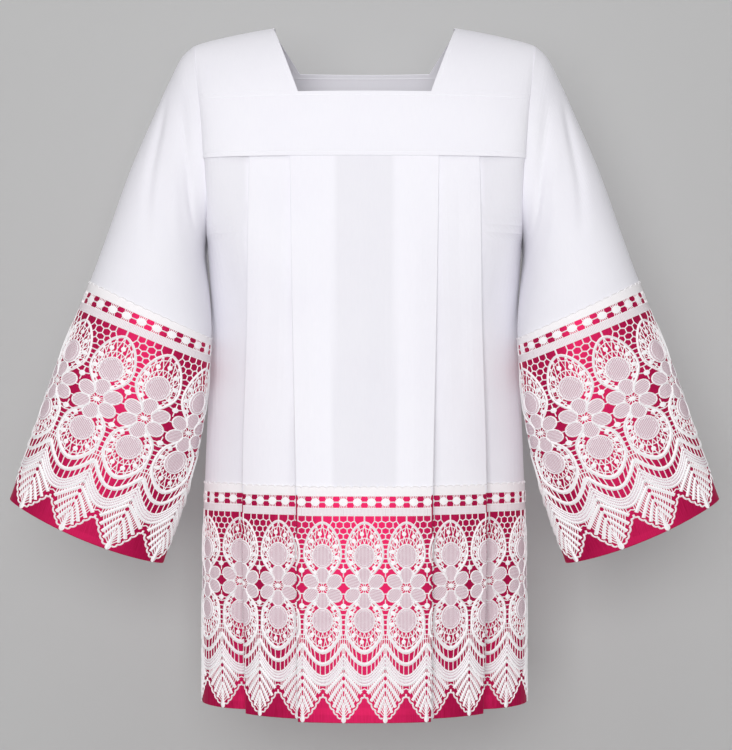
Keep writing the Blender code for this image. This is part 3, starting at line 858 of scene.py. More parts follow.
def oval(x, t, half_x, half_t, count, turn=0.0):
    """An ellipse as an outline, its long way turned by an angle."""
    angle = np.arange(count) / count * 2 * np.pi
    across, along = half_x * np.cos(angle), half_t * np.sin(angle)
    c, s = np.cos(turn), np.sin(turn)
    return np.stack([x + across * c - along * s, t + across * s + along * c], axis=1)


def bead(x, t, half_x, half_t, height=1.2, count=10):
    """A raised dot of thread: an oval slab of pure white, crowned."""
    leaf(oval(x, t, half_x, half_t, count), height * 0.6, crown=height * 0.4, woven=0.0)

# %% [markdown]
# ### Heading, beading and tape
#
# The lace is sewn on by its heading, a solid strip with a scalloped top. Under it runs a row of
# beading: oval dots joined by one cord, where a ribbon could be threaded, and then a woven tape.

# %% Draw the heading
CORD_W, GROUND_W, FINE = 1.6, 1.5, 1.3
SCALLOPS, DOTS = 5, 3
HEADING = {"edge": 0.8, "tape": 2.8, "end": 13.2}
BEADING = {"top": 13.4, "cord": 21.0, "bottom": 28.6}
TAPE = {"top": 28.6, "bottom": 38.9}


def strip(upper, lower, height, woven):
    """A thin closed box between two lines with the same number of points."""
    n = len(upper)
    sides = ((upper, 0.0), (upper, height), (lower, height), (lower, 0.0))
    points = np.concatenate([np.hstack([line, np.full((n, 1), h)]) for line, h in sides])
    a = np.arange(n - 1)
    quads = [
        np.stack([a + i * n, a + j * n, a + 1 + j * n, a + 1 + i * n], axis=1)
        for i, j in ((0, 1), (1, 2), (2, 3), (3, 0))
    ]
    ends = [[3 * n, 2 * n, n, 0], [n - 1, 2 * n - 1, 3 * n - 1, 4 * n - 1]]
    add_shape(points, np.concatenate([*quads, ends]), woven=woven)


def level_line(t, steps=10):
    """A straight line across the whole repeat, with points enough to bend over the pleats."""
    x = np.linspace(-REPEAT / 2, REPEAT / 2, steps + 1)
    return np.stack([x, np.full_like(x, t)], axis=1)


def band(top, bottom, height, woven):
    strip(level_line(top), level_line(bottom), height, woven)


def across_cord(t, width):
    cord(level_line(t), width)


pitch = REPEAT / SCALLOPS
for k in range(SCALLOPS):
    centre = -REPEAT / 2 + (k + 0.5) * pitch
    angle = np.linspace(np.pi, 0, 7)
    arc = np.stack([centre + pitch / 2 * np.cos(angle), HEADING["tape"] - 2.2 * np.sin(angle)], axis=1)
    cord(arc, 1.9, height=1.6)
    leaf(np.concatenate([arc, arc[:1] + (0, 0.6)]), 0.5, woven=0.1)
band(HEADING["tape"], HEADING["end"], 0.6, 0.1)
for t in (6.0, 8.2, 10.4):
    across_cord(t, 0.9)
across_cord(HEADING["tape"] + 0.4, 1.0)
across_cord(HEADING["end"] - 0.4, CORD_W)
across_cord(BEADING["cord"], CORD_W)
for k in range(DOTS):
    x = -REPEAT / 2 + k * REPEAT / DOTS
    bead(x, BEADING["cord"], 6.3, 5.1, height=1.3, count=14)
    for bar in np.linspace(-5.0, 5.0, 5):
        lean = bar * 0.8
        cord([(x + bar, BEADING["top"] - 0.4), (x + lean, BEADING["cord"] - 3.4)], 1.2)
        cord([(x + bar, BEADING["bottom"] + 0.4), (x + lean, BEADING["cord"] + 3.4)], 1.2)
across_cord(TAPE["top"] + 0.5, CORD_W)
across_cord(TAPE["bottom"] - 0.5, CORD_W)
band(TAPE["top"], TAPE["bottom"], 0.5, 0.45)

# %% [markdown]
# ### Medallions and flowers
#
# Each medallion is a pointed hoop round a woven oval, with a ring of star-shaped dots between them.
# Two of them stand on end with a six-petalled flower in the middle, and small cells fill the gaps
# to the next pair. The ring's web is a lattice: two crossing zigzags between the hoop and the oval,
# with a dot on each crossing.

# %% Draw the medallions, the flower and the ground
FLOWER_T = 133.0
UPPER_HOOP = (  # from beside the flower up to the point
    (-5.6, 124.0), (-9.6, 116.0), (-14.8, 111.3), (-19.0, 106.2), (-22.6, 101.0), (-25.0, 94.9),
    (-25.7, 88.7), (-25.2, 82.5), (-23.6, 75.3), (-21.1, 68.1), (-17.4, 61.0), (-12.7, 54.8),
    (-7.0, 50.0), (0.0, 47.3),
)
LOWER_HOOP = (  # from beside the flower down to the rounded end
    (-5.6, 142.0), (-10.0, 149.6), (-15.4, 153.6), (-20.6, 158.6), (-23.6, 165.0),
    (-24.9, 172.0), (-25.3, 179.0), (-25.1, 186.0), (-23.6, 192.8),
    (-20.2, 200.0), (-14.9, 207.0), (-8.2, 213.2), (0.0, 216.2),
)
UPPER_INNER = (
    (-4.6, 121.5), (-7.6, 114.5), (-9.6, 108.0), (-12.6, 101.5), (-14.2, 94.0), (-14.0, 87.0), (-11.6, 80.6),
    (-7.0, 76.6), (0.0, 75.2),
)
LOWER_INNER = (
    (-4.6, 144.5), (-7.8, 151.6), (-10.4, 158.0), (-13.4, 164.8), (-14.9, 172.0), (-14.6, 179.4),
    (-12.2, 185.6), (-7.4, 189.6), (0.0, 190.8),
)
OVALS = ((91.2, 14.0, 15.2), (174.6, 14.2, 15.2))
WEB_CROSSINGS = 10
STAR = 3.1


def ring_web(hoop, inner):
    """The lattice between a hoop and an oval: zigzags that cross, a dot on each crossing, and two
    fine cords between the crossings and either edge."""
    count = 2 * WEB_CROSSINGS + 1
    outer_line = softened(both_sides(hoop), count)
    inner_line = softened(both_sides(inner), count)
    start, stop = 1, count - 2
    for k in range(start, stop):
        ends = (outer_line, inner_line) if k % 2 else (inner_line, outer_line)
        cord([ends[0][k], ends[1][k + 1]], FINE)
        ends = (inner_line, outer_line) if k % 2 else (outer_line, inner_line)
        cord([ends[0][k], ends[1][k + 1]], FINE)
    for share in (0.27, 0.75):
        cord(outer_line[start:-start] * share + inner_line[start:-start] * (1 - share), FINE)
    middle = (outer_line[:-1] + outer_line[1:] + inner_line[:-1] + inner_line[1:]) / 4
    for x, t in middle[start:stop:2]:
        bead(x, t, STAR, STAR, height=1.3, count=8)


HOOPS, INNERS = (UPPER_HOOP, LOWER_HOOP), (UPPER_INNER, LOWER_INNER)
for hoop, inner, (oval_t, half_x, half_t) in zip(HOOPS, INNERS, OVALS, strict=True):
    line = softened(both_sides(hoop), 37)
    cord(line, np.interp(line[:, 1], (50, 80, 190, 214), (3.6, 3.2, 3.6, 5.6)), height=1.9)
    ring_web(hoop, inner)
    leaf(oval(0, oval_t, half_x, half_t, 20), 0.5, crown=0.1, rings=4)
    cord(oval(0, oval_t, half_x, half_t, 22), 2.2, closed=True)
    cord(oval(0, oval_t, half_x * 0.76, half_t * 0.82, 18), 0.8, height=1.2, closed=True, base=0.3)

PETALS = (  # x, t from the flower's middle, half sizes, lean in degrees
    (0.0, -16.4, 9.2, 10.2, 0),
    (16.4, -8.8, 10.6, 8.3, -23),
    (16.4, 8.8, 10.6, 8.3, 23),
)
WEAVE_LEAN = np.radians(58)
for x, t, half_x, half_t, lean in PETALS:
    for flip in (-1, 1):
        px, pt, turn = 0.0, FLOWER_T + flip * t, 0.0
        if x:
            px, pt, turn = flip * x, FLOWER_T + t, np.radians(flip * lean)
        outline = oval(px, pt, half_x, half_t, 18, turn)
        leaf(outline, 0.5, turn=turn + (WEAVE_LEAN if x else 0.0), crown=0.1)
        cord(outline, 2.2, closed=True)
bead(0, FLOWER_T, 4.2, 2.9, height=1.4, count=12)
RAYS = 12
for k in range(RAYS):
    angle = (k + 0.5) / RAYS * 2 * np.pi
    ray = np.array([np.cos(angle), np.sin(angle)])
    cord([ray * (3.6, 2.4) + (0, FLOWER_T), ray * (7.6, 6.0) + (0, FLOWER_T)], 1.1)
for flip in (-1, 1):
    cord([(flip * 7.0, FLOWER_T), (flip * 20.0, FLOWER_T)], 1.6)

EDGE_X = REPEAT / 2
GROUND_CORDS = (  # x and t of both ends, x measured from the line between two medallions
    (5.35, 38.5, 5.35, 45.5), (15.1, 38.5, 15.1, 45.5),
    (5.35, 45.5, 0.0, 47.8), (5.35, 45.5, 10.3, 47.8), (15.1, 45.5, 10.3, 47.8), (15.1, 45.5, 19.6, 52.0),
    (10.3, 47.8, 10.3, 53.8), (0.0, 53.8, 5.2, 56.0), (10.3, 53.8, 5.2, 56.0), (10.3, 53.8, 14.4, 57.6),
    (5.2, 56.0, 5.2, 61.0), (5.2, 61.0, 0.0, 63.2), (5.2, 61.0, 9.8, 64.6), (0.0, 68.6, 6.4, 70.6),
    (0.0, 76.0, 5.4, 76.2), (0.0, 82.2, 4.2, 82.4), (0.0, 88.4, 3.6, 88.4), (0.0, 94.4, 4.4, 94.2),
    (0.0, 100.6, 7.0, 99.8), (3.0, 109.0, 10.0, 106.6), (0.0, 161.4, 7.6, 160.0), (3.0, 156.0, 11.0, 156.6),
    (0.0, 167.4, 5.0, 167.4), (0.0, 173.8, 4.0, 173.8), (0.0, 180.2, 3.8, 180.2), (0.0, 187.0, 4.4, 187.0),
    (0.0, 193.6, 6.0, 193.4), (0.0, 198.6, 8.0, 199.6), (0.0, 125.6, 4.6, 125.6), (0.0, 140.4, 4.6, 140.4),
)
GROUND_POSTS = ((47.8, 53.8), (63.2, 68.6), (101.0, 107.5), (112.5, 118.6), (147.4, 153.6), (158.6, 161.4))
for x0, t0, x1, t1 in GROUND_CORDS:
    both_cords([(EDGE_X - x0, t0), (EDGE_X - x1, t1)], GROUND_W)
for top, bottom in GROUND_POSTS:
    cord([(EDGE_X, top), (EDGE_X, bottom)], GROUND_W)
cord([(0.0, 38.5), (0.0, 47.5)], 2.2)
for t in (109.8, 156.2):
    bead(EDGE_X, t, 4.0, 3.5, height=1.5, count=12)

# %% [markdown]
# ### Swags, fans and the pointed edge
#
# Below the medallions hang swags: cords in one curve, repeated lower and lower, with short bars
# between them. The edge is a fan of thick ribs under each meeting of two swags. Every rib starts on
# the fan's middle line and ends at the scalloped edge.

# %% Draw the swags and fans
SWAG_X = (0.0, 3.1, 8.4, 14.2, 20.0, 24.7, 29.0)
SWAG_FALL = (1.0, 0.985, 0.905, 0.717, 0.480, 0.232, 0.0)


def swag(peak, valley, count=29):
    """A swag's curve: highest between two medallions, lowest under a medallion's middle."""
    x = np.linspace(-EDGE_X, EDGE_X, 6 * count)
    fall = eased(np.abs(x), SWAG_X, SWAG_FALL)
    line = np.stack([x, peak + (valley - peak) * fall], axis=1)
    return at_lengths(line, np.linspace(0, run_along(line)[-1], count))


def bars(upper, lower, count, width, first=0.0, last=1.0):
    """Short cords from one line to another at even shares of both."""
    shares = np.linspace(first, last, count)
    tops = at_lengths(upper, shares * run_along(upper)[-1])
    ends = at_lengths(lower, shares * run_along(lower)[-1])
    for top, end in zip(tops, ends, strict=True):
        cord([top, end], width)


SWAGS = (  # peak, valley, width of the cord
    (205.0, 231.8, 5.0), (218.6, 246.9, 2.4), (223.5, 250.3, 2.6), (228.8, 254.0, 2.8),
    (234.2, 258.6, 3.8),
)
swags = [swag(peak, valley) for peak, valley, _ in SWAGS]
for line, (_, _, width) in zip(swags, SWAGS, strict=True):
    cord(line, width, height=min(0.5 * width, 2.0))
lower_hoop = softened(both_sides(LOWER_HOOP), 60)[12:-12]
bars(lower_hoop, swags[0], 12, 1.25, 0.02, 0.98)
bars(swags[0], swags[1], 12, 1.25, 0.04, 0.96)
cord([(EDGE_X, 206.0), (EDGE_X, 219.0)], 1.3)
for upper, lower in zip(swags[1:-1], swags[2:], strict=True):
    strip(upper, lower, 0.35, woven=1.0)

RIBS = (  # the middle line from the fan's middle outwards, as x and t, and the widths at both ends
    (((0.0, 243.6), (8.5, 252.0), (17.0, 261.0), (24.6, 269.2)), 4.3, 4.5),
    (((0.0, 253.0), (7.2, 261.4), (14.2, 271.0), (20.0, 279.2)), 3.9, 4.5),
    (((0.0, 262.6), (5.2, 270.4), (10.2, 279.4), (14.2, 287.4)), 3.5, 4.5),
    (((0.0, 273.0), (3.6, 280.4), (6.8, 287.6), (9.2, 294.4)), 3.1, 4.2),
)
FAN_EDGE = ((29.0, 270.4), (24.2, 275.0), (19.0, 283.0), (13.6, 290.8), (8.6, 297.4), (3.6, 301.6))


def fan_side(flip):
    """Half a fan, on one side of the repeat: its other half belongs to the next repeat."""
    place = np.array([flip, 1.0])
    shift = np.array([-flip * EDGE_X, 0.0])
    ribs = [softened(rib, 8) for rib, _, _ in RIBS]
    for line, (_, first, last) in zip(ribs, RIBS, strict=True):
        cord(line * place + shift, np.linspace(first, last, 8), height=1.7)
    for upper, lower, count in zip(ribs[:-1], ribs[1:], (9, 7, 6), strict=True):
        bars(upper * place + shift, lower * place + shift, count, 1.2, 0.12, 0.86)
    tip = np.array([(0.0, 284.0), (3.0, 300.0)])
    bars(ribs[-1] * place + shift, tip * place + shift, 5, 1.4, 0.15, 0.9)
    edge = np.asarray(FAN_EDGE)
    for first, last in zip(edge[:-1], edge[1:], strict=True):
        middle = (first + last) / 2
        out = unit(np.array([[first[1] - last[1], last[0] - first[0]]]))[0]
        shoulders = [middle + (end - middle) * 0.6 - out * 1.7 for end in (first, last)]
        bulge = [first, shoulders[0], middle - out * 2.3, shoulders[1], last]
        cord(softened(bulge, 6) * place + shift, 2.3)


fan_top = both_sides([(x - EDGE_X, t) for x, t in RIBS[0][0]] + [(0.0, 270.5)])
bars(swags[-1], fan_top, 11, 1.2, 0.0, 0.44)
bars(swags[-1], fan_top, 11, 1.2, 0.56, 1.0)
cord([(-6.0, 266.4), (0.0, 263.4), (6.0, 266.4)], 1.6)
for flip in (1, -1):
    fan_side(flip)
DROP = {"t": (282.0, 290.0, 298.0, 303.4, 306.4, 307.8), "width": (1.8, 3.0, 5.0, 7.4, 6.0, 2.4)}
cord([(EDGE_X, t) for t in DROP["t"]], np.array(DROP["width"]), height=1.7)

flat = {key: np.concatenate(parts) for key, parts in drawn.items()}
per_repeat = 2 * len(flat["quads"]) + len(flat["tris"])
print("one repeat of lace:", len(flat["points"]), "points,", per_repeat, "triangles")

# %% [markdown]
# ## Laying the lace on the satin
#
# To lay flat lace on pleated satin, each of its points is looked up in the satin's surface: x gives
# its share of the way round, which is measured along the cloth through every fold, t gives its
# height, and its own thickness is taken along the surface's normal. So the pattern turns in under
# each pleat just as real lace does when it is pleated together with the cloth beneath.

# %% Carry the repeats onto the body and the sleeves
BODY_REPEATS, SLEEVE_REPEATS = 19, 8
# The cuff's lace hangs square to its heading, so it creeps round the slanting sleeve as it falls.
SLEEVE_CREEP = {
    "share": (0.0, 0.07, 0.30, 0.43, 0.567, 0.70, 1.0),
    "repeats": (-0.40, -0.33, -0.11, 0.01, 0.15, 0.24, 0.43),
}
# A sleeve's ring of points runs on by this share past its start and its end.
LAP = 0.125
BODY_LACE_LENGTH, SLEEVE_LACE_LENGTH = 0.306, 0.310
# How finely the surfaces beneath the lace are divided, and how far a cord's foot sinks.
LACE_ROWS, BODY_LACE_COLUMNS, SLEEVE_LACE_COLUMNS = 60, 1401, 480
LACE_SINK = 0.0005


def evened(row, count):
    """A row of points divided again into equal lengths."""
    return at_lengths(row, np.linspace(0, run_along(row)[-1], count))


def laid(surface, normals, u, v, height):
    """Points of a surface at shares u across and v down it, raised along its normal. Between grid
    points both are blended from the four around, and past an edge they run straight on."""
    rows, columns = surface.shape[:2]
    fr, fc = v * (rows - 1), u * (columns - 1)
    r = np.clip(fr.astype(int), 0, rows - 2)
    c = np.clip(fc.astype(int), 0, columns - 2)
    fr, fc = (fr - r)[:, None], (fc - c)[:, None]

    def blended(field):
        upper = field[r, c] * (1 - fc) + field[r, c + 1] * fc
        lower = field[r + 1, c] * (1 - fc) + field[r + 1, c + 1] * fc
        return upper * (1 - fr) + lower * fr

    return blended(surface) + unit(blended(normals)) * height[:, None]


def lay_lace(name, surface, normals, repeats, creep=None, mirror=False):
    """Every repeat of the flat drawing, carried onto a surface, as one object."""
    x, t, height = flat["points"].T
    points = []
    for k in range(repeats):
        share = (k + 0.5 + x / REPEAT) / repeats
        if creep is not None:
            share = share + eased(t / LACE_DEPTH, creep["share"], creep["repeats"]) / repeats
            share = (share + LAP) / (1 + 2 * LAP)
        raised = LACE_LIFT + height / 1000 - LACE_SINK
        points.append(laid(surface, normals, share, t / LACE_DEPTH, raised))
    points = np.concatenate(points)
    step = np.arange(repeats)[:, None, None] * len(x)
    quads = (flat["quads"] + step).reshape(-1, 4)
    tris = (flat["tris"] + step).reshape(-1, 3)
    if mirror:
        points, quads, tris = points * (-1, 1, 1), quads[:, ::-1], tris[:, ::-1]
    uv = np.tile(flat["uv"], (repeats, 1))
    uv = np.concatenate([uv[quads.ravel()], uv[tris.ravel()]])
    sharp = np.concatenate([np.tile(flat["flat_quads"], repeats), np.tile(flat["flat_tris"], repeats)])
    woven = {"woven": np.tile(flat["woven"], repeats)}
    return new_object(name, points, quads.tolist() + tris.tolist(), uv, woven, sharp)


for side in SIDES:
    levels = np.linspace(LACE_TOP_Z, LACE_TOP_Z - BODY_LACE_LENGTH, LACE_ROWS)
    grid, _ = body_grid(levels, side)
    surface = np.stack([evened(row, BODY_LACE_COLUMNS) for row in grid])
    pieces[f"lace_{side}"] = lay_lace(f"lace_{side}_cords", surface, grid_normals(surface), BODY_REPEATS)

downs = np.linspace(SLEEVE_LACE_DOWN, SLEEVE_LACE_DOWN + SLEEVE_LACE_LENGTH, LACE_ROWS)
ring = sleeve_grid(downs, SLEEVE_LACE_COLUMNS)
facing = grid_normals(ring, closed=True)
past = round(SLEEVE_LACE_COLUMNS * LAP)
ring, facing = (
    np.concatenate([field[:, -past:], field, field[:, : past + 1]], axis=1) for field in (ring, facing)
)
for name in ("left", "right"):
    pieces[f"cuff_lace_{name}"] = lay_lace(
        f"cuff_lace_{name}_cords", ring, facing, SLEEVE_REPEATS, SLEEVE_CREEP, mirror=name == "right"
    )

# %% [markdown]
# ## Stitches
#
# Topstitching is what makes a white garment read as sewn. Each stitch is one small ridge of thread,
# and the furrow beneath it is already in the cloth. Thousands of them are needed, so a stitch has
# only six points, and a whole row of them is worked out at once from where it starts and ends.

# %% Sew the rows of topstitching
STITCH_PITCH, STITCH_LENGTH, THREAD = 0.0032, 0.0025, 0.00038
STITCH_MARGIN = 0.004


def stitch_row(line, normals, raise_by):
    """One row of stitches along a line: for each its two ends, and at each end a point to the left,
    one above and one to the right."""
    run = run_along(line)
    start = np.arange(STITCH_MARGIN, run[-1] - STITCH_MARGIN - STITCH_LENGTH, STITCH_PITCH)
    facing = unit(np.stack([np.interp(start, run, normals[:, k]) for k in range(3)], axis=1))
    ends = [at_lengths(line, start + shift) for shift in (0, STITCH_LENGTH)]
    side = unit(np.cross(ends[1] - ends[0], facing)) * THREAD / 2
    ring = [end + facing * raise_by + off for end in ends for off in (-side, facing * THREAD, side)]
    return np.stack(ring, axis=1).reshape(-1, 3)


def sew(name, rows):
    """All of a piece's rows of stitches as one object."""
    points = np.concatenate(rows)
    first = np.arange(0, len(points), 6)[:, None]
    quads = np.concatenate([first + q for q in ([0, 3, 4, 1], [1, 4, 5, 2], [2, 5, 3, 0])])
    tris = np.concatenate([first + q for q in ([0, 1, 2], [3, 5, 4])])
    return new_object(name, points, quads.tolist() + tris.tolist(), flat_faces=True)


OUT = BAND_HALF - 0.0001
stitching = {}
for side in SIDES:
    grid = band_grids[f"yoke_{side}"]
    normals = grid_normals(grid)
    rows = [stitch_row(grid[k], normals[k], OUT) for k in (STITCH_ROW, -1 - STITCH_ROW)]
    if side == "back":
        rows.append(stitch_row(grid[STITCH_ROW], -normals[STITCH_ROW], OUT))
    stitching[f"yoke_{side}"] = sew(f"yoke_{side}_stitches", rows)
for name in ("left", "right"):
    grid = band_grids[f"strap_{name}"]
    normals = grid_normals(grid)
    column = STITCH_ROW if name == "left" else -1 - STITCH_ROW
    rows = [stitch_row(grid[:, column], normals[:, column] * face, OUT) for face in (1, -1)]
    stitching[f"strap_{name}"] = sew(f"strap_{name}_stitches", rows)

# %% [markdown]
# ## Finishes
#
# White cloth isn't one white here, because its colour holds painted shade and light. A single layer is
# painted greyer, as if light leaked through it into the dark behind, and where layers lie on each
# other it is painted brighter, so the body carries a number for that on its points. The weave is
# two sets of fine waves, warp and weft, on the cloth's own UV in metres. Satin floats its threads
# one way, so it is smoother, and its gloss comes in broad streaks. A leaf of lace is thread and
# gaps, row by row.

# %% Node helpers
def new_material(name):
    """An empty node material, its Principled shader, and a function that adds a linked node."""
    made = bpy.data.materials.new(name)
    made.use_nodes = True
    tree = made.node_tree
    shader = tree.nodes["Principled BSDF"]

    def add(kind, settings=(), **inputs):
        node = tree.nodes.new(kind)
        for key, value in dict(settings).items():
            setattr(node, key, value)
        for key, value in inputs.items():
            numbered = key[0] == "i" and key[1:].isdigit()
            socket = node.inputs[int(key[1:]) if numbered else key.replace("_", " ")]
            if hasattr(value, "is_output"):
                tree.links.new(value, socket)
            else:
                socket.default_value = value
        return node

    return made, shader, add, tree.links.new


def linear(red, green, blue):
    """A colour given as it looks on a screen, 0 to 255, turned into the light it stands for."""
    c = np.array([red, green, blue]) / 255
    light = np.where(c <= 0.04045, c / 12.92, ((c + 0.055) / 1.055) ** 2.4)
    return (*light.tolist(), 1.0)


def set_inputs(shader, **values):
    for key, value in values.items():
        shader.inputs[key.replace("_", " ")].default_value = value


def weave_height(add, uv, pitch_across, pitch_down):
    """Height of a weave: the larger of two sets of ridges, across and down. A wave texture has one
    ridge in 2 pi / 20 of its scale."""
    ridges = []
    for pitch, direction in ((pitch_across, "X"), (pitch_down, "Y")):
        wave = add("ShaderNodeTexWave", {"bands_direction": direction}, Vector=uv,
                   Scale=2 * np.pi / 20 / pitch, Distortion=0.0)
        ridges.append(wave.outputs["Fac"])
    return add("ShaderNodeMath", {"operation": "MAXIMUM"}, i0=ridges[0], i1=ridges[1]).outputs[0]

# %% White cloth
def white_cloth(name, single_layer_painted_shade, stacked_layers_painted_light, backed=False):
    """Plain white cloth. Its colour lies between that of a single layer and that of several: painted shade
    for a single layer, as if light leaked through it, and painted light where layers back it.
    """
    made, shader, add, link = new_material(name)
    uv = add("ShaderNodeTexCoord").outputs["UV"]
    place = add("ShaderNodeTexCoord").outputs["Object"]
    clouds = add("ShaderNodeTexNoise", Vector=place, Scale=9.0, Detail=3.0, Roughness=0.5)
    slubs_at = add("ShaderNodeMapping", Vector=uv, Scale=(900.0, 60.0, 1.0))
    slubs = add("ShaderNodeTexNoise", Vector=slubs_at.outputs[0], Scale=1.0, Detail=2.0)
    # Painted shade and light: a single layer is coloured greyer, as if light leaked through it, and cloth
    # with layers behind it is coloured brighter.
    cloth = add("ShaderNodeMix", {"data_type": "RGBA"}, i6=linear(*single_layer_painted_shade), i7=linear(*stacked_layers_painted_light))
    if backed:
        layers = add("ShaderNodeAttribute", {"attribute_name": "backed"})
        link(layers.outputs["Fac"], cloth.inputs[0])
    else:
        cloth.inputs[0].default_value = 0.0
    multiply = {"blend_type": "MULTIPLY"}
    tint = add("ShaderNodeMixRGB", multiply, Color2=linear(249, 248, 251), i1=cloth.outputs[2])
    link(clouds.outputs["Fac"], tint.inputs[0])
    fleck = add("ShaderNodeMixRGB", multiply, Color2=linear(250, 250, 251), i1=tint.outputs[0])
    link(slubs.outputs["Fac"], fleck.inputs[0])
    link(fleck.outputs[0], shader.inputs["Base Color"])
    weave = weave_height(add, uv, 0.0005, 0.0005)
    bump = add("ShaderNodeBump", Height=weave, Distance=0.00006, Strength=0.25)
    link(bump.outputs[0], shader.inputs["Normal"])
    set_inputs(shader, Roughness=0.82, Specular_IOR_Level=0.25, Sheen_Weight=0.12, Sheen_Roughness=0.5)
    return made

# %% Crimson satin
def crimson_satin():
    """Satin: long floats of thread give fine streaks along the cloth, and a smooth, soft gloss."""
    made, shader, add, link = new_material("crimson_satin")
    uv = add("ShaderNodeTexCoord").outputs["UV"]
    streaks_at = add("ShaderNodeMapping", Vector=uv, Scale=(1400.0, 40.0, 1.0))
    streaks = add("ShaderNodeTexNoise", Vector=streaks_at.outputs[0], Scale=1.0, Detail=3.0)
    colour = add("ShaderNodeValToRGB")
    colour.color_ramp.elements[0].position, colour.color_ramp.elements[1].position = 0.3, 0.75
    colour.color_ramp.elements[0].color = linear(172, 0, 64)
    colour.color_ramp.elements[1].color = linear(204, 22, 92)
    link(streaks.outputs["Fac"], colour.inputs[0])
    link(colour.outputs[0], shader.inputs["Base Color"])
    bump = add("ShaderNodeBump", Height=streaks.outputs["Fac"], Distance=0.00005, Strength=0.3)
    link(bump.outputs[0], shader.inputs["Normal"])
    gloss = add("ShaderNodeMapRange", i1=0.3, i2=0.7, i3=0.42, i4=0.54, i0=streaks.outputs["Fac"])
    link(gloss.outputs[0], shader.inputs["Roughness"])
    set_inputs(shader, Metallic=0.6, Specular_IOR_Level=0.3, Anisotropic=0.4)
    return made

# %% Lace thread
def lace_thread():
    """Glossy cotton thread. In a leaf, waves across its UV part white threads from the gaps, which
    let the satin through as a dusky pink, and the attribute woven says how open the leaf is."""
    made, shader, add, link = new_material("lace_thread")
    uv = add("ShaderNodeTexCoord").outputs["UV"]
    woven = add("ShaderNodeAttribute", {"attribute_name": "woven"}).outputs["Fac"]
    thread = weave_height(add, uv, 0.0019, 0.0014)
    gap = add("ShaderNodeMapRange", i1=0.62, i2=1.0, i3=1.0, i4=0.0, i0=thread)
    open_share = add("ShaderNodeMath", {"operation": "MULTIPLY"}, i0=gap.outputs[0], i1=woven)
    colour = add("ShaderNodeMix", {"data_type": "RGBA"}, i6=linear(250, 248, 250), i7=linear(186, 134, 154),
                 i0=open_share.outputs[0])
    link(colour.outputs[2], shader.inputs["Base Color"])
    bump = add("ShaderNodeBump", Height=thread, Distance=0.0002, Strength=0.4)
    link(bump.outputs[0], shader.inputs["Normal"])
    set_inputs(shader, Roughness=0.62, Specular_IOR_Level=0.3)
    return made


# The whites hold painted shade and light: single-layer cloth, such as the sleeve's, is painted greyer, as if
# light leaked through it, and the doubled band and backed pleats are painted brighter.
finishes = {
    "body": white_cloth("white_panel_cloth", (242, 241, 246), (250, 249, 254), backed=True),
    "band": white_cloth("white_band_cloth", (249, 248, 253), (249, 248, 253)),
    "sleeve": white_cloth("white_sleeve_cloth", (243, 242, 247), (243, 242, 247)),
    "satin": crimson_satin(),
    "lace": lace_thread(),
}
thread_finish = white_cloth("white_sewing_thread", (252, 251, 254), (252, 251, 254))

# %% [markdown]
# ## Dressing the frame
#
# Each piece stands for the solid of the same name in the fixed model, which is hidden, and the size
# each was cut to is printed beside the area it measures. The sizes were read off these surfaces
# themselves. The sleeve is cut on a slant.

# %% Give finishes, hide the fixed parts and print cut sizes
def surface_area(thing):
    """The area of all of a piece's faces, both sides of the cloth."""
    return sum(face.area for face in thing.data.polygons)


def dress(node, finish, flat_size):
    piece = pieces[node]
    piece.data.materials.append(finishes[finish])
    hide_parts(node)
    print(node, "flat", flat_size, "both sides measure", round(surface_area(piece), 3))


# Depth of the yoke, width of the panel and width of the hem.
CUT = {"front": (0.096, 1.010, 1.000), "back": (0.150, 0.990, 0.985)}
for things in stitching.values():
    things.data.materials.append(thread_finish)
for side in SIDES:
    yoke_depth, body_width, hem_width = CUT[side]
    dress(f"yoke_{side}", "band", (0.449, yoke_depth))
    dress(f"body_{side}", "body", (body_width, 0.442))
    dress(f"satin_{side}", "satin", (hem_width, 0.294))
    dress(f"lace_{side}", "lace", (hem_width, 0.308))
for name in ("left", "right"):
    dress(f"strap_{name}", "band", (0.115, 0.224))
    dress(f"sleeve_{name}", "sleeve", (0.560, 0.345))
    dress(f"cuff_satin_{name}", "satin", (0.518, 0.298))
    dress(f"cuff_lace_{name}", "lace", (0.518, 0.310))

# %% [markdown]
# ## Stage, light and camera
#
# The garment hangs in the air as if someone wore it, before a plain pale wall and over a plain pale
# floor. Most of the light is one large soft panel far in front, which keeps the folds' shadows soft.
# A weak one above it lights the shoulders, and one stands behind for a camera on that side.

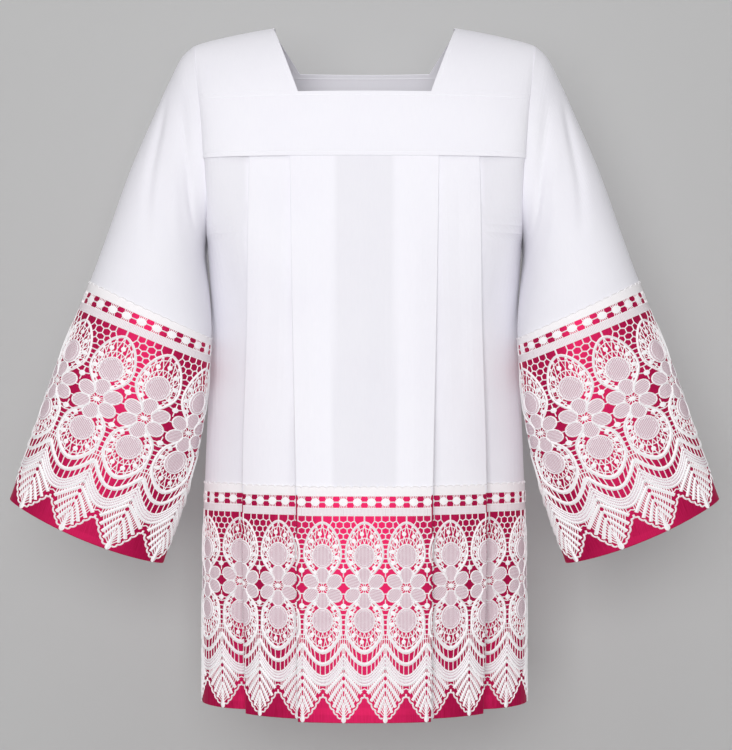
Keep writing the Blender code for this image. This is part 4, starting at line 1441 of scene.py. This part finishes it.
# %% Build the stage
def backdrop(name, corners, colour):
    """A plain plane. It is clear from its back, so that a camera behind it still sees the garment,
    and it casts no shadow."""
    mesh = bpy.data.meshes.new(name)
    mesh.from_pydata(corners, [], [(0, 1, 2, 3)])
    plane = put_in_scene(name, mesh)
    made, shader, add, link = new_material(name)
    set_inputs(shader, Base_Color=colour, Roughness=0.95, Specular_IOR_Level=0.1)
    from_back = add("ShaderNodeNewGeometry").outputs["Backfacing"]
    clear = add("ShaderNodeBsdfTransparent")
    seen = add("ShaderNodeMixShader", i0=from_back, i1=shader.outputs[0], i2=clear.outputs[0])
    link(seen.outputs[0], made.node_tree.nodes["Material Output"].inputs["Surface"])
    mesh.materials.append(made)
    plane.visible_shadow = False
    return plane


FLOOR_Z, WALL_Y = -1.55, 0.34
PALE = linear(189, 189, 189)
backdrop("floor", [(-4, -4, FLOOR_Z), (4, -4, FLOOR_Z), (4, 4, FLOOR_Z), (-4, 4, FLOOR_Z)], PALE)
backdrop("wall", [(-4, WALL_Y, -2), (4, WALL_Y, -2), (4, WALL_Y, 3), (-4, WALL_Y, 3)], PALE)


def soft_panel(name, place, towards, size, power):
    """A square area light at a place, turned to face a point."""
    light = bpy.data.lights.new(name, "AREA")
    light.energy, light.size, light.shape = power, size, "SQUARE"
    lamp = put_in_scene(name, light)
    lamp.location = place
    lamp.rotation_euler = (Vector(towards) - Vector(place)).to_track_quat("-Z", "Y").to_euler()
    return lamp


soft_panel("front_panel", (-0.4, -6.0, 0.1), (0, 0, -0.4), 2.6, 212)
soft_panel("top_panel", (-0.3, -2.2, 2.4), (0, 0, -0.2), 1.2, 9)
soft_panel("back_panel", (0.4, 4.5, 0.5), (0, 0, -0.4), 2.4, 95)
world = bpy.data.worlds.new("studio")
world.use_nodes = True
set_inputs(world.node_tree.nodes["Background"], Color=(1, 1, 1, 1), Strength=0.40)
bpy.context.scene.world = world
bpy.context.scene.view_settings.view_transform = "Standard"

# %% Place the camera
CAMERA = Vector((0.002, -2.8, -0.472))
PICTURE_HEIGHT = 1.02375
SENSOR = 36
camera_data = bpy.data.cameras.new("camera")
camera_data.sensor_width = SENSOR
camera_data.lens = SENSOR * -CAMERA.y / PICTURE_HEIGHT
camera = put_in_scene("camera", camera_data)
camera.location = CAMERA
camera.rotation_euler = (np.pi / 2, 0, 0)
bpy.context.scene.camera = camera
print("camera lens", round(camera_data.lens, 2), "mm, at", tuple(CAMERA))
